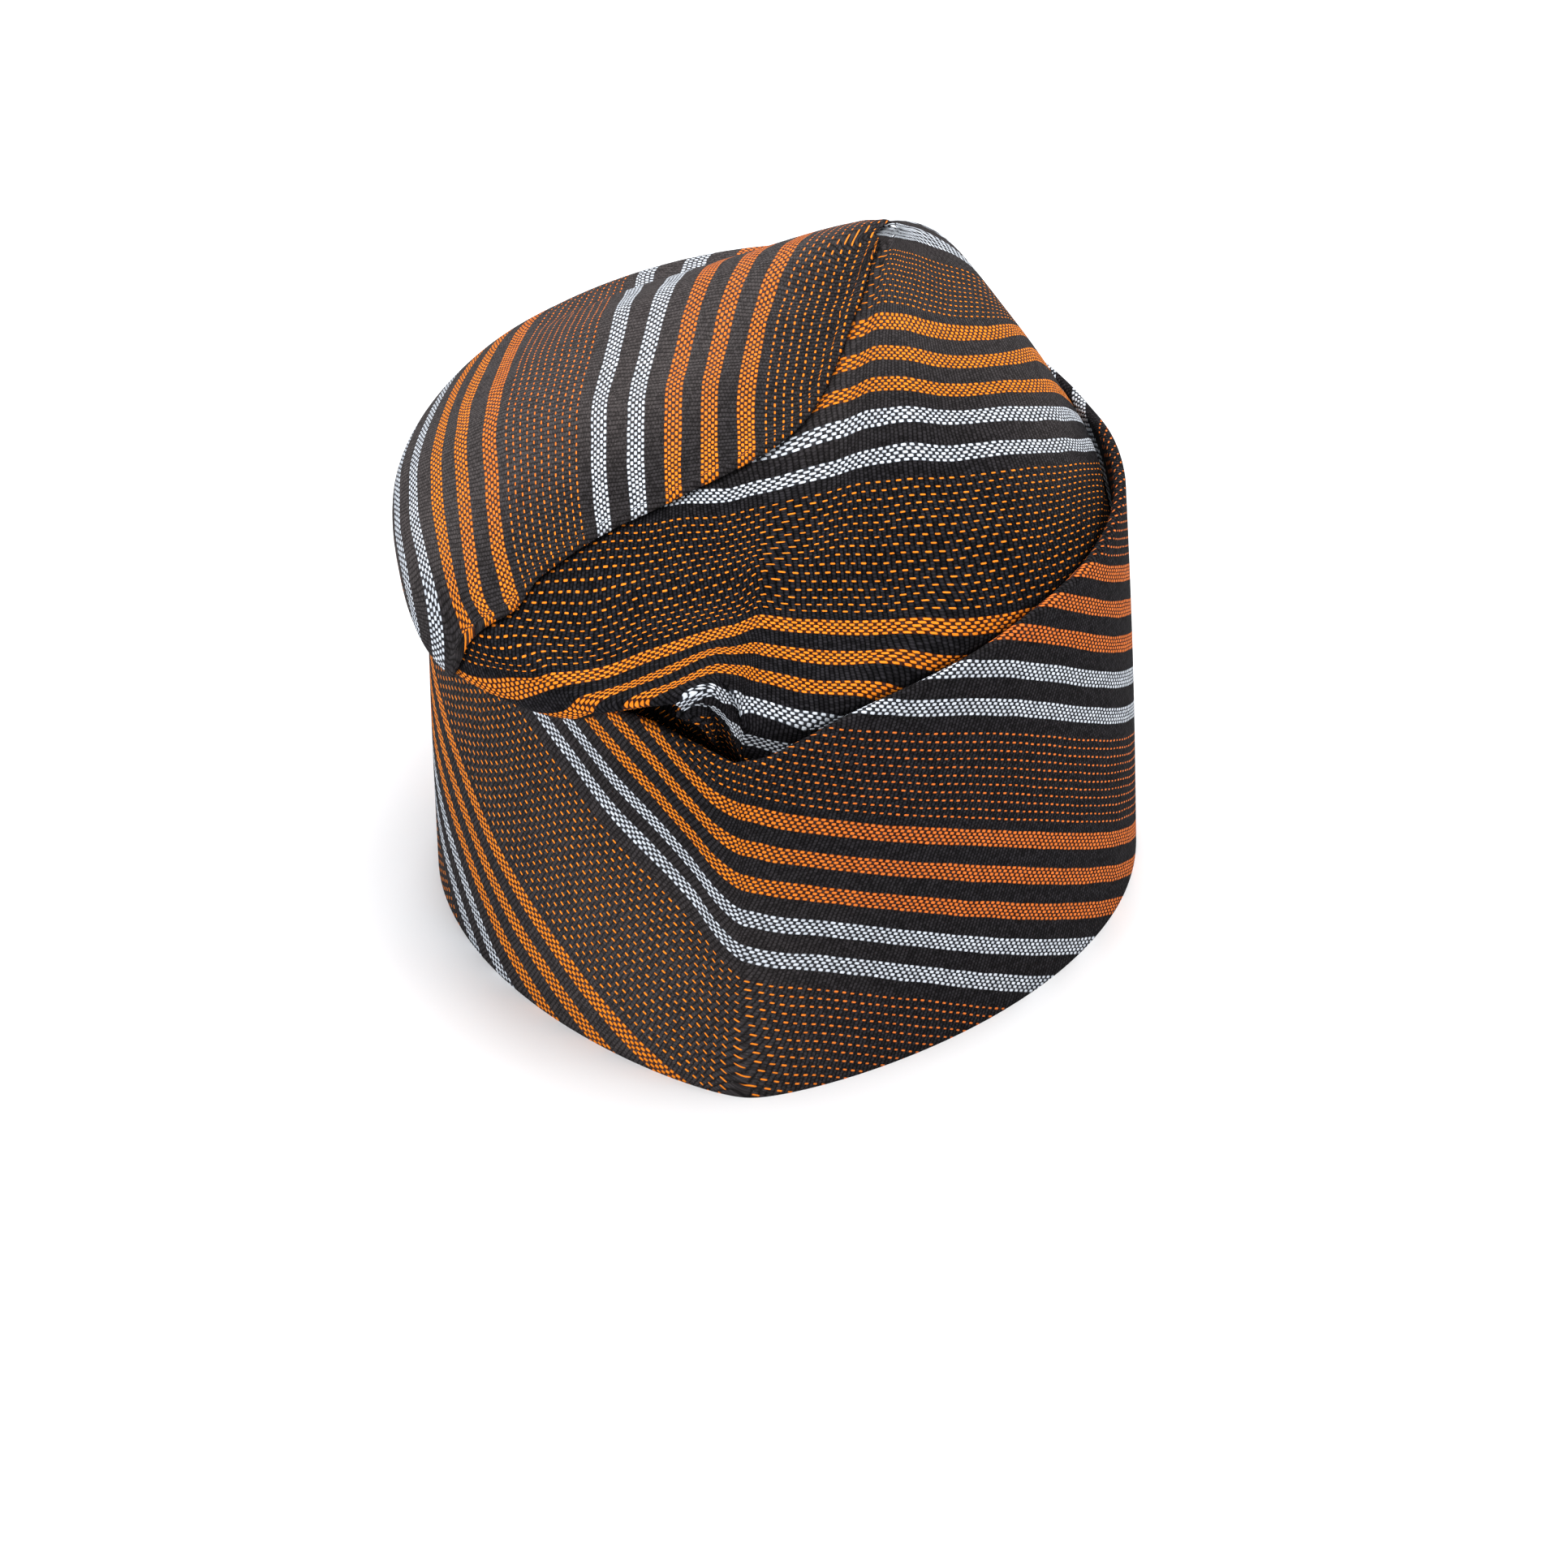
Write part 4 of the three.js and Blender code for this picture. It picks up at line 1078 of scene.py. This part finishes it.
    # Painted highlight and painted shade: each dash is painted brighter in its middle and darker at its edges,
    # and its tone varies by chance
    (painted_light_by_dome, by_chance), (silver_painted_light_by_dome, silver_chance) = YARN["orange"], YARN["silver"]
    orange = s.mix(dome * painted_light_by_dome + odd * by_chance, colour(colours.orange_dash_shade), painted_light_hue)
    silver = s.mix(dome * silver_painted_light_by_dome + odd * silver_chance, colour(colours.silver_dash_shade), colour(colours.silver))
    thread = s.mix(in_silver, orange, silver)
    # Painted shadow: the gaps between the dashes take a little of the dashes' painted shade colour
    in_gap = in_stripe * YARN["gap"]
    gap = s.mix(in_gap, dark, s.mix(in_silver, colour(colours.orange_dash_shade), colour(colours.silver_dash_shade)))
    face = s.mix(shown, gap, thread)

    height = ground * RELIEF["ground"] + dome * RELIEF["dash"] + fuzz * RELIEF["fuzz"]
    bump = s.node("ShaderNodeBump", Strength=RELIEF["strength"], Distance=RELIEF["depth"], Height=height)
    rough = SHEEN["ground"] - SHEEN["less_on_dash"] * shown
    shader = s.node("ShaderNodeBsdfPrincipled", Base_Color=face, Roughness=rough, Normal=bump.outputs[0])
    shader.inputs["Specular IOR Level"].default_value = SHEEN["mirror"]
    shader.inputs["Sheen Weight"].default_value = SHEEN["fibre"]
    shader.inputs["Sheen Roughness"].default_value = SHEEN["spread"]
    s.node("ShaderNodeOutputMaterial", Surface=shader.outputs[0])
    return s.material


class ClothColours(bpy.types.PropertyGroup):
    """The yarns' colours, with copies in painted shade and a grey of nap with painted sheen."""

    ground: bpy.props.FloatVectorProperty(
        name="Ground", description="Raised part of the black ground", subtype="COLOR", min=0, max=1,
        default=(0.024, 0.0225, 0.026))
    # Painted shade in the gaps between the ribs of the ground
    rib_gap_shade: bpy.props.FloatVectorProperty(
        name="Ground valleys", description="Between the ribs of the ground", subtype="COLOR", min=0, max=1,
        default=(0.0005, 0.0005, 0.0006))
    # Ground greyed by loose fibre and by painted sheen
    nap_and_sheen_grey: bpy.props.FloatVectorProperty(
        name="Nap", description="Ground where loose fibre greys it", subtype="COLOR", min=0, max=1,
        default=(0.095, 0.082, 0.080))
    lint: bpy.props.FloatVectorProperty(
        name="Lint", description="Loose fibre on the ground", subtype="COLOR", min=0, max=1,
        default=(0.17, 0.155, 0.155))
    # The orange yarn as lit, and next a redder copy of it painted as in shade
    orange: bpy.props.FloatVectorProperty(
        name="Orange", description="Orange yarn", subtype="COLOR", min=0, max=1, default=(1.0, 0.285, 0.018))
    orange_shaded: bpy.props.FloatVectorProperty(
        name="Orange away from the light", description="Orange yarn where it looks redder", subtype="COLOR",
        min=0, max=1, default=(0.84, 0.205, 0.036))
    # Painted shade at the edges of the orange dashes and in the gaps between them
    orange_dash_shade: bpy.props.FloatVectorProperty(
        name="Orange shade", description="Edges of the orange dashes", subtype="COLOR", min=0, max=1,
        default=(0.26, 0.05, 0.006))
    silver: bpy.props.FloatVectorProperty(
        name="Silver", description="Silver yarn", subtype="COLOR", min=0, max=1, default=(0.76, 0.81, 0.88))
    # Painted shade at the edges of the silver dashes and in the gaps between them
    silver_dash_shade: bpy.props.FloatVectorProperty(
        name="Silver shade", description="Edges of the silver dashes", subtype="COLOR", min=0, max=1,
        default=(0.10, 0.115, 0.14))


class StudioSettings(bpy.types.PropertyGroup):
    """The camera, the lights and the floor."""

    distance: bpy.props.FloatProperty(
        name="Distance", description="From the camera to the point it looks at", unit="LENGTH", default=1.4)
    elevation: bpy.props.FloatProperty(
        name="Elevation", description="Camera's angle above the floor", subtype="ANGLE",
        default=math.radians(35))
    azimuth: bpy.props.FloatProperty(
        name="Azimuth", description="Camera's angle round the cap", subtype="ANGLE",
        default=math.radians(6.1))
    roll: bpy.props.FloatProperty(
        name="Roll", description="Camera's turn about its own axis", subtype="ANGLE",
        default=math.radians(-1.9))
    floor: bpy.props.FloatVectorProperty(
        name="Floor", description="Floor's colour", subtype="COLOR", min=0, max=1, default=(0.86, 0.86, 0.87))
    key: bpy.props.FloatProperty(
        name="Top light", description="Power of the light overhead", unit="POWER", default=22)
    fill: bpy.props.FloatProperty(
        name="Side lights", description="Power of the lights at the sides", unit="POWER", default=11)


def finish_piece(made, node):
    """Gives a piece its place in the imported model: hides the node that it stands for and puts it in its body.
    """
    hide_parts(node)
    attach(made, "root")


class CAP_OT_band(bpy.types.Operator):
    """Build the turned-up band's cloth"""

    bl_idname = "cap.band"
    bl_label = "Band"

    def execute(self, context):
        made = make_band()
        made.data.materials.append(striped_weave("band", context.scene.cap_cloth))
        finish_piece(made, "band")
        return {"FINISHED"}


class CAP_OT_crown(bpy.types.Operator):
    """Build the crown's cloth"""

    bl_idname = "cap.crown"
    bl_label = "Crown"

    def execute(self, context):
        made = make_crown()
        made.data.materials.append(striped_weave("crown", context.scene.cap_cloth))
        finish_piece(made, "crown")
        return {"FINISHED"}


class CAP_OT_flap(bpy.types.Operator):
    """Build the cloth of the crown's folded top"""

    bl_idname = "cap.flap"
    bl_label = "Folded top"

    def execute(self, context):
        made = make_flap()
        made.data.materials.append(striped_weave("flap", context.scene.cap_cloth))
        finish_piece(made, "crown_flap")
        return {"FINISHED"}


# The studio: half the floor's width and what the lights are turned to, in metres; each light's place, size,
# setting, share of that power, and colour; the camera's target in millimetres, and its sensor and lens
FLOOR_REACH = 4
AIM = (0, 0, 0.08)
LIGHTS = {
    "top": ((0.15, 0.1, 1.5), 1.1, "key", 1, (1.0, 0.99, 0.975)),
    "left": ((-1.1, -0.9, 0.55), 0.8, "fill", 1, (0.97, 0.985, 1.0)),
    "right": ((1.2, -0.5, 0.8), 0.6, "fill", 0.7, (1.0, 0.985, 0.965)),
    "behind": ((-0.2, 1.2, 0.9), 0.8, "fill", 0.8, (0.96, 0.98, 1.0)),
}
SKY = {"colour": (0.95, 0.97, 1.0, 1), "strength": 0.5}
TARGET = (0.9, -11.2, 24.4)
SENSOR_WIDTH = 36
LENS = 129.57


def area_light(name, place, target, size, power, tint):
    """A square soft light at a place, turned to a target."""
    data = bpy.data.lights.new(name, "AREA")
    data.size, data.energy, data.color = size, power, tint
    made = bpy.data.objects.new(name, data)
    made.location = place
    made.rotation_mode = "QUATERNION"
    made.rotation_quaternion = (Vector(target) - Vector(place)).to_track_quat("-Z", "Y")
    bpy.context.scene.collection.objects.link(made)


class CAP_OT_studio(bpy.types.Operator):
    """Set up the floor, the lights and the camera"""

    bl_idname = "cap.studio"
    bl_label = "Studio"

    def execute(self, context):
        studio = context.scene.cap_studio
        mesh = bpy.data.meshes.new("floor")
        sides = ((-1, -1), (1, -1), (1, 1), (-1, 1))
        mesh.from_pydata([(FLOOR_REACH * x, FLOOR_REACH * y, 0) for x, y in sides], [], [(0, 1, 2, 3)])
        floor = bpy.data.objects.new("floor", mesh)
        context.scene.collection.objects.link(floor)
        s = Shader("floor_paint")
        soft = s.noise(s.node("ShaderNodeTexCoord").outputs["Object"], 3.0)
        face = s.mix(soft * 0.04, colour(studio.floor), (0.8, 0.8, 0.8, 1))
        shader = s.node("ShaderNodeBsdfPrincipled", Base_Color=face, Roughness=0.8)
        s.node("ShaderNodeOutputMaterial", Surface=shader.outputs[0])
        mesh.materials.append(s.material)

        world = bpy.data.worlds.new("studio")
        world.use_nodes = True
        sky = world.node_tree.nodes["Background"].inputs
        sky[0].default_value, sky[1].default_value = SKY["colour"], SKY["strength"]
        context.scene.world = world
        context.scene.view_settings.view_transform = "Standard"
        for name, (place, size, setting, share, tint) in LIGHTS.items():
            area_light(name, place, AIM, size, getattr(studio, setting) * share, tint)

        a, e, roll = studio.azimuth, studio.elevation, studio.roll
        back = Vector((math.sin(a) * math.cos(e), -math.cos(a) * math.cos(e), math.sin(e)))
        right = Vector((math.cos(a), math.sin(a), 0))
        up = back.cross(right)
        level = right * math.cos(roll) + up * math.sin(roll)
        upright = up * math.cos(roll) - right * math.sin(roll)
        target = Vector(((TARGET[0] + SHIFT[0]) * MM, (TARGET[1] + SHIFT[1]) * MM, TARGET[2] * MM))
        data = bpy.data.cameras.new("camera")
        data.sensor_width, data.lens = SENSOR_WIDTH, LENS
        camera = bpy.data.objects.new("camera", data)
        axes = Matrix((level, upright, back)).transposed().to_4x4()
        camera.matrix_world = Matrix.Translation(target + back * studio.distance) @ axes
        context.scene.collection.objects.link(camera)
        context.scene.camera = camera
        return {"FINISHED"}


class CAP_PT_panel(bpy.types.Panel):
    """Lists the cap's pieces and settings"""

    bl_idname = "CAP_PT_panel"
    bl_label = "Woven cap"
    bl_space_type = "VIEW_3D"
    bl_region_type = "UI"
    bl_category = "Cap"

    def draw(self, context):
        for step in STEPS:
            self.layout.operator(step.bl_idname)
        for group in (context.scene.cap_cloth, context.scene.cap_studio):
            for name in group.__annotations__:
                self.layout.prop(group, name)


STEPS = (CAP_OT_band, CAP_OT_crown, CAP_OT_flap, CAP_OT_studio)
CLASSES = (ClothColours, StudioSettings, *STEPS, CAP_PT_panel)


def register():
    for item in CLASSES:
        bpy.utils.register_class(item)
    bpy.types.Scene.cap_cloth = bpy.props.PointerProperty(type=ClothColours)
    bpy.types.Scene.cap_studio = bpy.props.PointerProperty(type=StudioSettings)


def unregister():
    del bpy.types.Scene.cap_studio
    del bpy.types.Scene.cap_cloth
    for item in reversed(CLASSES):
        bpy.utils.unregister_class(item)


def main():
    """Builds the cap piece by piece."""
    register()
    bpy.ops.cap.band()
    bpy.ops.cap.crown()
    bpy.ops.cap.flap()
    bpy.ops.cap.studio()


if __name__ == "__main__":
    main()
